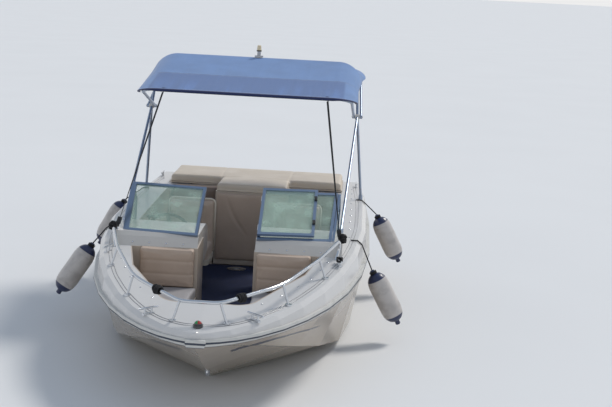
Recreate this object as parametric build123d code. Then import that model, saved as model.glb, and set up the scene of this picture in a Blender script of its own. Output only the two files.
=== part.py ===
from build123d import *
import os
from math import atan, cos, degrees, pi, radians, sin

# A runabout with an open bow and a stern drive, afloat.
# Millimetres. X runs to port, Y runs aft, Z runs up.
# The origin is on the centreline at the waterline, about amidships.

# Hull lines
bow_y = -2550.0
transom_y = 2200.0
half_beam = 1120.0
stem_half = 45.0
entry_length = 2945.0
bow_fullness = 2.4
bow_roundness = 0.58
stern_taper = 0.05
sheer_bow_z = 560.0
sheer_stern_z = 720.0
keel_depth = 330.0
forefoot_length = 2300.0
stem_curve = 1.72
stem_gap = 40.0
chine_flat = 40.0
chine_reach = 2400.0
deck_bow_z = 620.0
deck_z_aft = 880.0
deck_rise_length = 3600.0
deck_rise_power = 2.1
deck_side_in = 16.0
deck_side_lean = 0.1
deck_edge_round = 28.0
deck_crown = 14.0
skin = 10.0
transom_skin = 40.0
stem_skin = 60.0
station_steps = (0.0, 30.0, 90.0, 200.0, 370.0, 600.0, 900.0, 1300.0, 1800.0, 2500.0, 3500.0)

# Rub rail
rail_band_stand = 24.0
rail_band_half = 26.0

# Wells in the deck
bow_well_aft_y = -960.0
bow_well_mid_y = -1400.0
bow_well_tip_y = -2070.0
bow_well_aft_half = 740.0
bow_well_mid_half = 640.0
bow_well_tip_half = 290.0
bow_well_round = 170.0
bench_z = 420.0
floor_z = 180.0
walk_half = 220.0
footwell_front_y = -1540.0
footwell_round = 60.0
main_well_front_y = -640.0
main_well_aft_y = 1480.0
main_well_half = 830.0
main_well_round = 90.0
bay_aft_y = 2100.0
bay_half = 650.0

# Engine
engine_half = 300.0
engine_span = (1510.0, 2080.0)
engine_z = -30.0
engine_top_z = 500.0
bearer_x = 270.0
bearer_wide = 60.0

# Consoles and windscreen
ledge_front_y = -958.0
ledge_z = 908.0
console_inner = 226.0
console_outer = 905.0
dash_aft_y = -360.0
pane_base_inner = (232.0, -905.0)
pane_base_outer = (815.0, -838.0)
pane_height = 300.0
pane_rake = 56.0
pane_lean = 28.0
frame_bar = 24.0
frame_thick = 20.0
glass_thick = 5.0
door_width = 448.0
hinge_r = 4.8
door_gap = 10.0
wing_length = 560.0
wing_drop = 150.0

# Seats, cushions and hood
carpet_thick = 6.0
cushion_gap = 0.3
seat_axis = (480.0, 290.0)
seat_width = 420.0
seat_depth = 430.0
seat_pan_z = 460.0
seat_pan_thick = 44.0
seat_back_height = 480.0
hood_front_y = 1090.0
hood_neck_half = 345.0
hood_wide_half = 860.0
hood_wide_front_y = 1500.0
hood_aft_y = 2130.0
hood_skin = 12.0
hood_seal = 0.6
sunpad_thick = 76.0
running_gap = 6.0
bench_depth = 380.0
bench_height = 290.0
bench_skin = 12.0
bolster_top_z = 900.0

# Helm
wheel_centre = (-560.0, -265.0, 800.0)
wheel_tilt = 62.0
wheel_radius = 165.0
grip_r = 13.0
table_place = (-100.0, 930.0)
plate_thick = 14.0
socket_r = 30.0

# Canopy
knuckle = (965.0, 1000.0, 1700.0)
front_foot = (885.0, -520.0)
aft_foot = (1042.0, 1250.0)
leg_foot_r = 20.0
bow_tube_r = 12.7
leg_tube_r = 12.7
front_bow_top = (80.0, 1945.0)
main_bow_top = (1250.0, 2170.0)
rear_bow_top = (1900.0, 2085.0)
bow_corner = 200.0
bow_splay = 25.0
bow_nest = 34.0
canvas_skirt = 10.0
strap_eye = (882.0, -855.0)
strap_top_x = 700.0
strap_width = 25.0
strap_thick = 3.0
eye_ball_r = 10.0
canvas_thick = 3.0
pin_r = 6.0
pin_clearance = 0.4
eye_r = 16.0
eye_half = 12.0
knuckle_r = 24.0

# Drive
steer_y = 2345.0
trim_axis = (2420.0, 100.0)
barrel_pin = (2395.0, -150.0)
rod_pin = (2560.0, -20.0)
cylinder_half = 127.0
shaft_z = -560.0
prop_y = 2742.0
shaft_r = 12.0
shaft_fit = 0.05
prop_radius = 180.0
prop_pitch = 430.0
platform_length = 450.0
platform_half = 880.0
platform_z = 330.0
platform_thick = 70.0

# Bow rail: rail_end is the end's y, its way inside the deck edge and the y of its foot;
# a row of rail_posts is a post's y and the ways inside the edge of its foot and its top
rail_height = 150.0
rail_r = 12.7
post_r = 9.0
rail_end = (-905.0, 80.0, -1000.0)
rail_posts = ((-1465.0, 50.0, 100.0), (-2020.0, 42.0, 84.0), (-2395.0, 118.0, 164.0))
rail_bends = (60.0, 700.0, 700.0, 150.0)

# Bow fittings: a row of cleat_rows is a cleat's y and its turn
nav_light_y = bow_y + 95.0
eye_z = 130.0
cleat_inset = 48.0
cleat_rows = ((-2290.0, 48.0), (-1130.0, 14.0), (1900.0, 0.0))

# Fenders: a row is the upper eye, a point that the lower end leans to and the y of the rope on deck
fender_radius = 95.0
fender_length = 510.0
rope_r = 5.0
rope_lift = 5.9
fender_rows = (
    ((-1172, -420, 680), (-1420, -520, 285), -430),
    ((-1225, 1150, 760), (-1440, 1120, 360), 1160),
    ((1158, -450, 600), (1400, -450, 165), -450),
    ((1205, 1150, 755), (1450, 1150, 300), 1160),
)

hull_length = transom_y - bow_y
sheer_slope = (sheer_stern_z - sheer_bow_z) / hull_length
sky_z = 1300.0


def straight(curve):
    """The line through a curve at the stations, as the ruled solids follow it."""
    stations = [bow_y + step for step in station_steps] + [transom_y]

    def line(y):
        if not stations[0] < y < stations[-1]:
            return curve(y)
        after = min(s for s in stations if s >= y)
        before = max(s for s in stations if s < y)
        share = (y - before) / (after - before)
        return curve(before) * (1 - share) + curve(after) * share

    return line


def along(y, length):
    """Share of a length aft of the bow that lies before y, from 0 to 1."""
    return min(max((y - bow_y) / length, 0.0), 1.0)


def sheer_z(y):
    """Height of the joint between hull and deck, a straight line in side view."""
    return sheer_bow_z + sheer_slope * (y - bow_y)


@straight
def sheer_half(y):
    """Half breadth at that joint: a full rounded bow and a slight taper aft."""
    ahead = along(y, entry_length)
    full = half_beam * (1 - (1 - ahead) ** bow_fullness) ** bow_roundness
    behind = max(0.0, y - bow_y - entry_length) / (hull_length - entry_length)
    return max(full * (1 - stern_taper * behind**2), stem_half)


@straight
def keel_z(y):
    """Keel line: a curved stem that runs into a straight keel."""
    ahead = along(y, forefoot_length)
    rise = keel_depth + sheer_bow_z - stem_gap
    return -keel_depth + rise * (1 - ahead) ** stem_curve


@straight
def chine_z(y):
    """Chine line, which climbs towards the stem."""
    ahead = along(y, chine_reach)
    share = 0.36 + 0.24 * (1 - ahead) ** 2
    return keel_z(y) + share * (sheer_z(y) - keel_z(y))


@straight
def chine_half(y):
    """Half breadth at the chine."""
    ahead = along(y, chine_reach)
    return sheer_half(y) * (0.86 - 0.4 * (1 - ahead) ** 2)


@straight
def deck_z(y):
    """Height of the deck edge, which dips towards the bow."""
    ahead = along(y, deck_rise_length)
    return deck_z_aft - (deck_z_aft - deck_bow_z) * (1 - ahead) ** deck_rise_power


@straight
def deck_half(y):
    """Half breadth of the deck edge, which leans in from the joint."""
    height = deck_z(y) - sheer_z(y)
    lean = min(deck_side_in + deck_side_lean * height, 0.45 * sheer_half(y))
    return sheer_half(y) - lean


def deck_top(x, y):
    """Height of the crowned deck at a point away from its rounded edge."""
    return deck_z(y) + deck_crown * (1 - abs(x) / (deck_half(y) - 0.6 * deck_edge_round))


def section(y, inset):
    """Face across the boat at y, moved inwards by inset."""
    flat = min(chine_flat, 0.3 * (sheer_half(y) - chine_half(y)))
    edge = min(deck_edge_round, 0.4 * deck_half(y))
    half = [
        (chine_half(y) - inset, chine_z(y) + inset),
        (chine_half(y) + flat - inset, chine_z(y) + 0.2 * flat + inset),
        (sheer_half(y) - inset, sheer_z(y)),
        (deck_half(y) + 0.6 * edge - inset, deck_z(y) - edge - 0.5 * inset),
        (deck_half(y) - 0.6 * edge - inset, deck_z(y) - inset),
    ]
    keel = [(0.0, keel_z(y) + 1.1 * inset)]
    crown = [(0.0, deck_z(y) + deck_crown - inset)]
    other = [(-x, z) for x, z in reversed(half)]
    points = [(x, y, z) for x, z in keel + half + crown + other]
    return Face(Wire(Polyline(*points, close=True).edges()))


def boat_volume(first_y, last_y, inset):
    """Body with straight rulings between the stations from one end to the other."""
    inner = [bow_y + s for s in station_steps if first_y + 1 < bow_y + s < last_y - 1]
    return loft([section(y, inset) for y in [first_y] + inner + [last_y]], ruled=True)


def sheer_plane(lift=0.0):
    """Plane of the joint between hull and deck, moved up by lift."""
    return Plane(origin=(0, bow_y, sheer_bow_z + lift), z_dir=(0, -sheer_slope, 1))


def block(x0, x1, y0, y1, z0, z1):
    """Box between two corners."""
    centre = Pos((x0 + x1) / 2, (y0 + y1) / 2, (z0 + z1) / 2)
    return centre * Box(abs(x1 - x0), abs(y1 - y0), abs(z1 - z0))


def rod(start, end, radius):
    """Round bar between two points."""
    a, b = Vector(*start), Vector(*end)
    return extrude(Plane(origin=a, z_dir=b - a) * Circle(radius), (b - a).length)


def tube(points, radii, radius):
    """Round bar along straight runs with tangent arcs."""
    path = FilletPolyline(*points, radius=radii)
    start = Plane(origin=path @ 0, z_dir=path % 0)
    return sweep(start * Circle(radius), path=path)


def mirror_x(shape):
    """The same piece on the other side of the centreline."""
    return mirror(shape, about=Plane.YZ)


def both(shape):
    """A piece and its mirror image as one node's solids."""
    return Compound(children=[*shape.solids(), *mirror_x(shape).solids()])


def prism(face, bottom):
    """Upright prism over a plan outline, open to the sky."""
    return extrude(Pos(0, 0, bottom) * face, sky_z - bottom)


def bow_outline(grow):
    """Plan of the seating well in the bow."""
    side = [
        (bow_well_aft_half, bow_well_aft_y),
        (bow_well_mid_half, bow_well_mid_y),
        (bow_well_tip_half, bow_well_tip_y),
    ]
    points = side + [(-x, y) for x, y in reversed(side)]
    face = make_face(Polyline(*points, close=True))
    face = fillet(face.vertices().sort_by(Axis.Y)[:2], bow_well_round)
    return offset(face, grow) if grow else face


def plan_box(x0, x1, y0, y1, round_r=0.0):
    """Plan rectangle with rounded corners."""
    face = Pos((x0 + x1) / 2, (y0 + y1) / 2) * Rectangle(x1 - x0, y1 - y0)
    return fillet(face.vertices(), round_r) if round_r else face


def wells(grow):
    """Air in the bow well, the walk-through and the main cockpit."""
    main = plan_box(
        -main_well_half - grow,
        main_well_half + grow,
        main_well_front_y - grow,
        main_well_aft_y + grow,
        main_well_round + grow,
    )
    foot = plan_box(
        -walk_half - grow, walk_half + grow, footwell_front_y - grow, 0, footwell_round + grow
    )
    return (
        prism(bow_outline(grow), bench_z - grow)
        + prism(foot, floor_z - grow)
        + prism(main, floor_z - grow)
    )


outer = boat_volume(bow_y, transom_y, 0)
inner = boat_volume(bow_y + stem_skin, transom_y - transom_skin, skin)
shell = outer - inner
air = wells(0)
bay = block(-bay_half, bay_half, hood_wide_front_y, bay_aft_y, 0, sky_z)
hood_way = block(
    -hood_neck_half - running_gap,
    hood_neck_half + running_gap,
    hood_front_y,
    hood_wide_front_y + 1,
    floor_z,
    sky_z,
)
boat_fill = outer - air - bay - hood_way

pieces = {}


def make_hull():
    """Hull moulding, deck moulding, liner, rub rail and stringers."""
    pieces["hull"] = split(shell, bisect_by=sheer_plane(), keep=Keep.BOTTOM)
    deck = split(shell, bisect_by=sheer_plane(), keep=Keep.TOP)
    grown = wells(skin)
    pieces["deck"] = deck - grown - bay - hood_way
    pieces["cockpit_liner"] = (grown - air - hood_way) & outer
    big = boat_volume(bow_y - rail_band_stand, transom_y, -rail_band_stand)
    band = split(big, bisect_by=sheer_plane(rail_band_half), keep=Keep.BOTTOM)
    band = split(band, bisect_by=sheer_plane(-rail_band_half), keep=Keep.TOP)
    pieces["rub_rail"] = band - outer
    ends = (-1100, transom_y - transom_skin)
    low = block(bearer_x, bearer_x + bearer_wide, *ends, -keel_depth, floor_z - skin)
    step = block(0, 2 * bearer_x, hood_front_y + 200, transom_y, engine_z, floor_z)
    pieces["stringers"] = both((low - step) & inner)


def make_engine():
    """Engine as one block on its bearers."""
    pieces["engine"] = block(-engine_half, engine_half, *engine_span, engine_z, engine_top_z)


def make_floor():
    """Carpet and the socket plate for a table leg."""
    walk = plan_box(-walk_half + 3, walk_half - 3, footwell_front_y + 3, -400, 55)
    main = plan_box(
        -main_well_half + 3, main_well_half - 3, main_well_front_y + 3, main_well_aft_y - bench_depth - 20, 80
    )
    carpet = extrude(Pos(0, 0, floor_z) * (walk + main), carpet_thick)
    socket_place = Pos(*table_place, floor_z)
    plate = socket_place * extrude(Ellipse(92, 70), plate_thick)
    bore = socket_place * Cylinder(socket_r, 60)
    plate_cut = socket_place * extrude(Ellipse(93, 71), 2 * plate_thick)
    pieces["carpet"] = carpet - plate_cut
    pieces["table_socket"] = plate - bore


def pane_plane(offset_out=0.0):
    """Plane of the port front pane: X along its base outwards, Y up the rake."""
    inner_base = Vector(pane_base_inner[0], pane_base_inner[1], ledge_z)
    outer_base = Vector(pane_base_outer[0], pane_base_outer[1], ledge_z)
    out = (outer_base - inner_base).normalized()
    across = Vector(-out.Y, out.X, 0)
    up = across * sin(radians(pane_rake)) + Vector(0, 0, 1) * cos(radians(pane_rake))
    normal = out.cross(up)
    return Plane(origin=inner_base + normal * offset_out, x_dir=out, z_dir=normal)


pane_width = (Vector(*pane_base_outer) - Vector(*pane_base_inner)).length
pane_length = pane_height / cos(radians(pane_rake))
pane_sweep = (pane_base_outer[1] - pane_base_inner[1]) / (pane_base_outer[0] - pane_base_inner[0])
pane_skew = pane_sweep * sin(radians(pane_rake))


def pane_outline():
    """Port pane in its own plane; its inner edge stays parallel to the centreline."""
    skew = pane_skew * pane_length
    top_out = pane_width + skew + pane_lean
    corners = [(0, -12), (pane_width, -12), (top_out, pane_length), (skew, pane_length)]
    return make_face(Polyline(*corners, close=True))


def framed(plane, outline):
    """Frame round an outline and the glass in it."""
    hole = offset(outline, -frame_bar, kind=Kind.INTERSECTION)
    frame = extrude(plane * outline, frame_thick / 2, both=True)
    opening = extrude(plane * hole, frame_thick, both=True)
    glass = extrude(plane * hole, glass_thick / 2, both=True)
    return frame - opening, glass


def make_windscreen():
    """Consoles, framed panes, side wings and the door in the middle."""
    profile = Polyline(
        (ledge_front_y, deck_z(ledge_front_y) - 4),
        (ledge_front_y + 45, ledge_z - 30),
        (ledge_front_y + 70, ledge_z),
        (dash_aft_y - 120, ledge_z + 8),
        (dash_aft_y - 20, ledge_z - 30),
        (dash_aft_y + 30, ledge_z - 190),
        (dash_aft_y - 20, ledge_z - 250),
        (dash_aft_y - 180, ledge_z - 300),
        (main_well_front_y - 5, ledge_z - 320),
        (main_well_front_y - 5, deck_z(main_well_front_y) - 4),
        close=True,
    )
    side = Plane(origin=(console_inner, 0, 0), x_dir=(0, 1, 0), z_dir=(1, 0, 0))
    console = extrude(side * make_face(profile), console_outer - console_inner)
    console = console - boat_fill - prism(plan_box(0, walk_half + 2, -2000, 0), 0)
    console = max(console.solids(), key=lambda s: s.volume)
    pieces["console_port"] = console
    pieces["console_starboard"] = mirror_x(console)

    frame, glass = framed(pane_plane(), pane_outline())
    frame, glass = frame - console, glass - console
    pieces["windscreen_frames"] = both(frame)
    pieces["windscreen_panes"] = both(glass)

    plane = pane_plane()
    skew = pane_skew * pane_length
    low_front = plane.from_local_coords(Vector(pane_width + 14, 0, 0))
    top_front = plane.from_local_coords(
        Vector(pane_width + 14 + skew + pane_lean, pane_length, 0)
    )
    back = Vector(22, wing_length, -70).normalized()
    normal = back.cross(top_front - low_front).normalized()
    wing_plane = Plane(origin=low_front, x_dir=back, z_dir=normal)
    top = wing_plane.to_local_coords(top_front)
    wing = make_face(
        Polyline(
            (0, 0),
            (wing_length, 0),
            (wing_length + 60, top.Y - wing_drop),
            (top.X + 40, top.Y),
            (top.X, top.Y),
            close=True,
        )
    )
    wing_frame, wing_glass = framed(wing_plane, wing)
    stand = boat_fill + console
    for name, piece in (("wing_frames", wing_frame), ("wing_panes", wing_glass)):
        pieces[name] = both(max((piece - stand - frame).solids(), key=lambda s: s.volume))

    door_plane = pane_plane(frame_thick + door_gap)
    low, high = 16, pane_length
    corners = [
        (pane_skew * low, low),
        (door_width + pane_skew * low, low),
        (door_width + pane_skew * high, high),
        (pane_skew * high, high),
    ]
    door_frame, door_glass = framed(door_plane, make_face(Polyline(*corners, close=True)))
    latches = []
    for share in (0.3, 0.8):
        h = share * pane_length
        latch = door_plane * Pos(door_width - 12 + pane_skew * h, h, frame_thick / 2 + 6)
        latches.append(latch * Box(22, 40, 12))
    pieces["door_frame"] = door_frame
    pieces["door_pane"] = door_glass
    pieces["door_latches"] = Compound(children=latches)
    hinge_plane = pane_plane(frame_thick / 2 + door_gap / 2)
    barrels = []
    for share in (0.2, 0.8):
        ends = [
            hinge_plane.from_local_coords(Vector(pane_skew * h - 1, h, 0))
            for h in (share * pane_length - 30, share * pane_length + 30)
        ]
        barrels.append(rod(*ends, hinge_r))
    pieces["door_hinges"] = Compound(children=barrels)


def make_helm():
    """Steering wheel, its column and the throttle."""
    place = Pos(*wheel_centre) * Rot(-wheel_tilt, 0, 0)
    rim = Torus(wheel_radius, grip_r)
    spoke = extrude(Pos(0, 0, -8) * Rectangle(34, wheel_radius, align=(Align.CENTER, Align.MIN)), 14)
    spokes = [Rot(0, 0, a) * spoke for a in (60, 180, 300)]
    hub = Pos(0, 0, -2) * Cylinder(42, 30)
    pieces["steering_wheel"] = place * (rim + spokes + hub)
    column = place * Pos(0, 0, -17 - cushion_gap) * Cylinder(30, 150, align=(Align.CENTER, Align.CENTER, Align.MAX))
    pieces["steering_column"] = column - pieces["console_starboard"]
    box = block(-main_well_half, -main_well_half + 45, -120, 60, 640, 760)
    lever = rod((-main_well_half + 60, -40, 700), (-main_well_half + 60, -60, 850), 8)
    knob = Pos(-main_well_half + 75, -62, 862) * Rot(0, 90, 0) * Cylinder(14, 70)
    pivot = rod((-main_well_half + 45, -40, 700), (-main_well_half + 70, -40, 700), 18)
    pieces["throttle"] = box + pivot + lever + knob


def pad(face, bottom, thick, edge):
    """Cushion over a plan outline with rounded upper edges."""
    body = extrude(Pos(0, 0, bottom) * face, thick)
    return fillet(body.edges().group_by(Axis.Z)[-1], edge)


def make_bow_seats():
    """Cushions on the bow bench and the backrests on the console fronts."""
    plan = offset(bow_outline(0), -3)
    cut = plan_box(-walk_half - 2, walk_half + 2, footwell_front_y - 2, 0)
    plan = plan - cut
    halves = plan & plan_box(1, 1000, -3000, 0)
    cushion = extrude(Pos(0, 0, bench_z + cushion_gap) * halves, 85)
    cushion = max(cushion.solids(), key=lambda s: s.volume)
    rest = block(walk_half + 14, bow_well_aft_half - 60, 0, 60, 0, 400)
    rest = fillet(rest.edges().filter_by(Axis.Y), 30)
    face_y = bow_well_aft_y - cushion_gap - 60
    rest = Pos(0, face_y, bench_z + 88) * rest
    pieces["bow_cushions"] = both(cushion)
    pieces["bow_backrests"] = both(rest)


def make_seat(side, sign):
    """Bucket seat on a post: moulded shell and upholstery; gives back the pedestal."""
    x, y = seat_axis[0] * sign, seat_axis[1]
    foot = Pos(x, y, floor_z + 6) * extrude(Circle(130), 10)
    post_top = seat_pan_z - seat_pan_thick - cushion_gap
    post = Pos(x, y, floor_z + 16) * extrude(Circle(38), post_top - floor_z - 16)
    half = seat_width / 2
    plan = plan_box(-half, half, -seat_depth / 2, seat_depth / 2, 70)
    shell_pan = extrude(Pos(0, 0, seat_pan_z - seat_pan_thick) * plan, seat_pan_thick)
    back_plan = plan_box(-half, half, seat_depth / 2 - 60, seat_depth / 2 + 40, 45)
    back = extrude(Pos(0, 0, seat_pan_z) * back_plan, seat_back_height)
    back = fillet(back.edges().group_by(Axis.Z)[-1], 35)
    front_half = plan_box(-half, half, seat_depth / 2 - 80, seat_depth / 2 - 10)
    shell_back = back - extrude(front_half, sky_z)
    place = Pos(x, y, 0)
    base = place * (shell_pan + shell_back)
    cushion = extrude(
        Pos(0, 0, seat_pan_z + cushion_gap) * (plan - plan_box(-half, half, seat_depth / 2 - 82, 400)), 110
    )
    cushion = fillet(cushion.edges().group_by(Axis.Z)[-1], 30)
    backpad = back & extrude(
        plan_box(-half, half, seat_depth / 2 - 80, seat_depth / 2 - 10 - cushion_gap), sky_z
    )
    pieces[f"{side}_seat_shell"] = base
    pads = [place * cushion, place * backpad]
    pieces[f"{side}_seat_cushions"] = Compound(children=[p.solid() for p in pads])
    return (foot + post).solid()


def make_aft_seats():
    """Benches beside the engine hood, their cushions and bolsters."""
    inner_x = hood_neck_half + 2 * running_gap
    outer_x = main_well_half - 12
    front_y = main_well_aft_y - bench_depth
    corner = main_well_round + 4
    seat_z = floor_z + bench_height
    back_y = main_well_aft_y - 12
    base_plan = plan_box(inner_x, outer_x, front_y, back_y)
    far = base_plan.vertices().sort_by(Axis.X)[2:].sort_by(Axis.Y)[-1:]
    base = extrude(Pos(0, 0, floor_z) * fillet(far, corner), bench_height)
    core = block(inner_x + bench_skin, outer_x - corner, front_y + bench_skin, back_y - bench_skin, 0, seat_z - bench_skin)
    seat_plan = plan_box(inner_x + 4, outer_x - 4, front_y - 10, back_y - 80 - cushion_gap, 40)
    seat = pad(seat_plan, seat_z + cushion_gap, 100, 28)
    bolster = block(inner_x + 4, outer_x - 4, back_y - 80, back_y, seat_z + cushion_gap, bolster_top_z)
    bolster = fillet(bolster.edges().filter_by(Axis.X), 32)
    bolster = bolster & extrude(fillet(far, corner), sky_z)
    pieces["aft_benches"] = both(base - core)
    pieces["aft_cushions"] = both(seat)
    pieces["aft_bolsters"] = both(bolster)


hood_z = deck_z_aft + deck_crown + hood_seal


def hood_plan(shrink):
    """T-shaped plan of the engine hood."""
    neck = plan_box(
        -hood_neck_half + shrink, hood_neck_half - shrink, hood_front_y + shrink, hood_wide_front_y + 200
    )
    wide = plan_box(
        -hood_wide_half + shrink, hood_wide_half - shrink, hood_wide_front_y + shrink, hood_aft_y - shrink
    )
    return neck + wide


def make_hood():
    """Engine hood that lifts on its aft edge, with the sunpad and front panel."""
    top = extrude(Pos(0, 0, hood_z) * hood_plan(0), hood_skin)
    neck = block(
        -hood_neck_half, hood_neck_half, hood_front_y, hood_wide_front_y - 20, floor_z + running_gap + 6, hood_z
    )
    hollow = block(
        -hood_neck_half + hood_skin,
        hood_neck_half - hood_skin,
        hood_front_y + hood_skin,
        hood_wide_front_y,
        0,
        hood_z,
    )
    rim = block(-bay_half + 20, bay_half - 20, hood_wide_front_y + 20, bay_aft_y - 20, hood_z - 40, hood_z)
    rim_hollow = block(-bay_half + 32, bay_half - 32, hood_wide_front_y + 32, bay_aft_y - 32, 0, hood_z)
    pieces["engine_hood"] = top + (neck - hollow) + (rim - rim_hollow - hollow)
    pieces["sunpad"] = pad(hood_plan(4), hood_z + hood_skin + cushion_gap, sunpad_thick, 30)
    panel = block(
        -hood_neck_half + 14, hood_neck_half - 14, hood_front_y - 22, hood_front_y - cushion_gap, floor_z + 60, hood_z - 6
    )
    pieces["hood_panel"] = panel
    hinge_y = hood_aft_y + 7 + cushion_gap
    pieces["hood_hinge"] = Compound(
        children=[
            rod((x - 45, hinge_y, hood_z), (x + 45, hinge_y, hood_z), 7) + block(
                x - 45, x + 45, hinge_y - 3, hinge_y + 3, deck_z_aft - 2, hood_z
            ) - boat_fill
            for x in (-400, 400)
        ]
    )


def bow_points(top, half):
    """Corner points of one canopy bow, from port pivot to starboard pivot."""
    low = (knuckle[1], knuckle[2])
    splayed = half - bow_splay
    return [(half, *low), (splayed, *top), (-splayed, *top), (-half, *low)]


canopy_tops = {"front": front_bow_top, "main": main_bow_top, "rear": rear_bow_top}
bow_halves = {
    "front": knuckle[0] - bow_nest,
    "main": knuckle[0],
    "rear": knuckle[0] + bow_nest,
}


def bow_run(name):
    """Vector in the centre plane from the pivot to the top of one bow."""
    y, z = canopy_tops[name]
    return Vector(0, y - knuckle[1], z - knuckle[2])


def canvas_slope(name):
    """Least cosine between the canvas and the normal of one bow's plane."""
    order = list(canopy_tops)
    place = order.index(name)
    normal = Vector(1, 0, 0).cross(bow_run(name).normalized())
    cosines = []
    for other in order[max(place - 1, 0) : place + 2]:
        if other != name:
            chord = bow_run(other) - bow_run(name)
            cosines.append(abs(chord.normalized().dot(normal)))
    return min(cosines)


def canvas_band(name):
    """Closed band across the canopy in the plane of one bow."""
    run = bow_run(name)
    normal = Vector(1, 0, 0).cross(run.normalized())
    plane = Plane(origin=(0, knuckle[1], knuckle[2]), x_dir=(1, 0, 0), z_dir=normal)
    reach = bow_tube_r + cushion_gap
    side = reach / min(canvas_slope(n) for n in canopy_tops)
    low = run.length - bow_corner - side - canvas_skirt
    lean = bow_splay * (bow_corner + side + canvas_skirt) / bow_run("main").length
    wide = bow_halves["rear"] - bow_splay + lean
    lines = []
    for thick in (0, canvas_thick):
        w, h = wide + side + thick, run.length + (reach + thick) / canvas_slope(name)
        corners = [(w, low), (w, h), (-w, h), (-w, low)]
        lines.append(FilletPolyline(*corners, radius=bow_corner + side + thick))
    inside, outside = lines
    ends = [Line(outside @ 0, inside @ 0), Line(outside @ 1, inside @ 1)]
    return plane * make_face(outside.edges() + inside.edges() + ends)


def make_canopy():
    """Legs, knuckles, three bows and the canvas in two panels."""
    pivot = Vector(*knuckle)
    pin = rod(pivot - Vector(bow_nest + 18, 0, 0), pivot + Vector(bow_nest + 18, 0, 0), pin_r)
    for name, top in canopy_tops.items():
        half = bow_halves[name]
        bar = tube(bow_points(top, half), bow_corner, bow_tube_r)
        centre = Vector(half, *knuckle[1:])
        eye = rod(centre - Vector(eye_half, 0, 0), centre + Vector(eye_half, 0, 0), eye_r)
        hole_r = pin_r + pin_clearance
        hole = rod(centre - Vector(40, 0, 0), centre + Vector(40, 0, 0), hole_r)
        pieces[f"canopy_bow_{name}"] = bar + eye + mirror_x(eye) - hole - mirror_x(hole)
    half_block = Vector(bow_nest - eye_half - pin_clearance - 1, 0, 0)
    head = rod(pivot - half_block, pivot + half_block, knuckle_r)
    legs = None
    for place, floor in ((front_foot, ledge_z), (aft_foot, deck_z(aft_foot[1]))):
        foot = Vector(*place, floor + 30)
        leg = rod(foot, pivot, leg_tube_r) + Pos(foot.X, foot.Y, foot.Z - 15) * Cylinder(leg_foot_r, 50)
        legs = leg if legs is None else legs + leg
    legs = legs - boat_fill - pieces["console_port"] - head
    pieces["canopy_legs"] = both(legs)
    pieces["canopy_knuckles"] = both(head + pin - pieces["canopy_bow_main"])
    bands = {name: canvas_band(name) for name in canopy_tops}
    pieces["canopy_canvas_front"] = loft([bands["front"], bands["main"]], ruled=True)
    pieces["canopy_canvas_rear"] = loft([bands["main"], bands["rear"]], ruled=True)


def make_straps():
    """Hold-down straps from the front bow to deck eyes, and the light on the canopy."""
    eye = Vector(*strap_eye, ledge_z + eye_ball_r)
    head = Vector(strap_top_x, *front_bow_top)
    run = (head - eye).normalized()
    start = eye + run * (eye_ball_r + cushion_gap)
    stop_gap = bow_tube_r + cushion_gap + strap_width / 2 * abs(run.X) + strap_thick
    plane = Plane(origin=start, x_dir=run.cross(Vector(0, 1, 0)), z_dir=run)
    strap = extrude(plane * Rectangle(strap_width, strap_thick), (head - start).length - stop_gap)
    ball = Pos(*eye) * Sphere(eye_ball_r) + Pos(eye.X, eye.Y, eye.Z - 12) * Cylinder(18, 14)
    pieces["canopy_straps"] = both(strap)
    pieces["strap_eyes"] = both(ball - boat_fill - pieces["console_port"])
    rise = (bow_tube_r + cushion_gap + canvas_thick) / canvas_slope("main")
    run = bow_run("main")
    ridge = Vector(*knuckle) + run.normalized() * (run.length + rise)
    place = Pos(0, ridge.Y, ridge.Z + cushion_gap)
    foot = place * extrude(Ellipse(40, 30), 14)
    stem = place * Pos(0, 0, 14) * extrude(Circle(17), 40)
    collar = place * Pos(0, 0, 54) * extrude(Circle(24), 12)
    lens = place * Pos(0, 0, 66) * extrude(Circle(22), 46, taper=6)
    pieces["canopy_light"] = foot + stem
    pieces["canopy_light_lens"] = fillet((collar + lens).edges().group_by(Axis.Z)[-1], 8)


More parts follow.
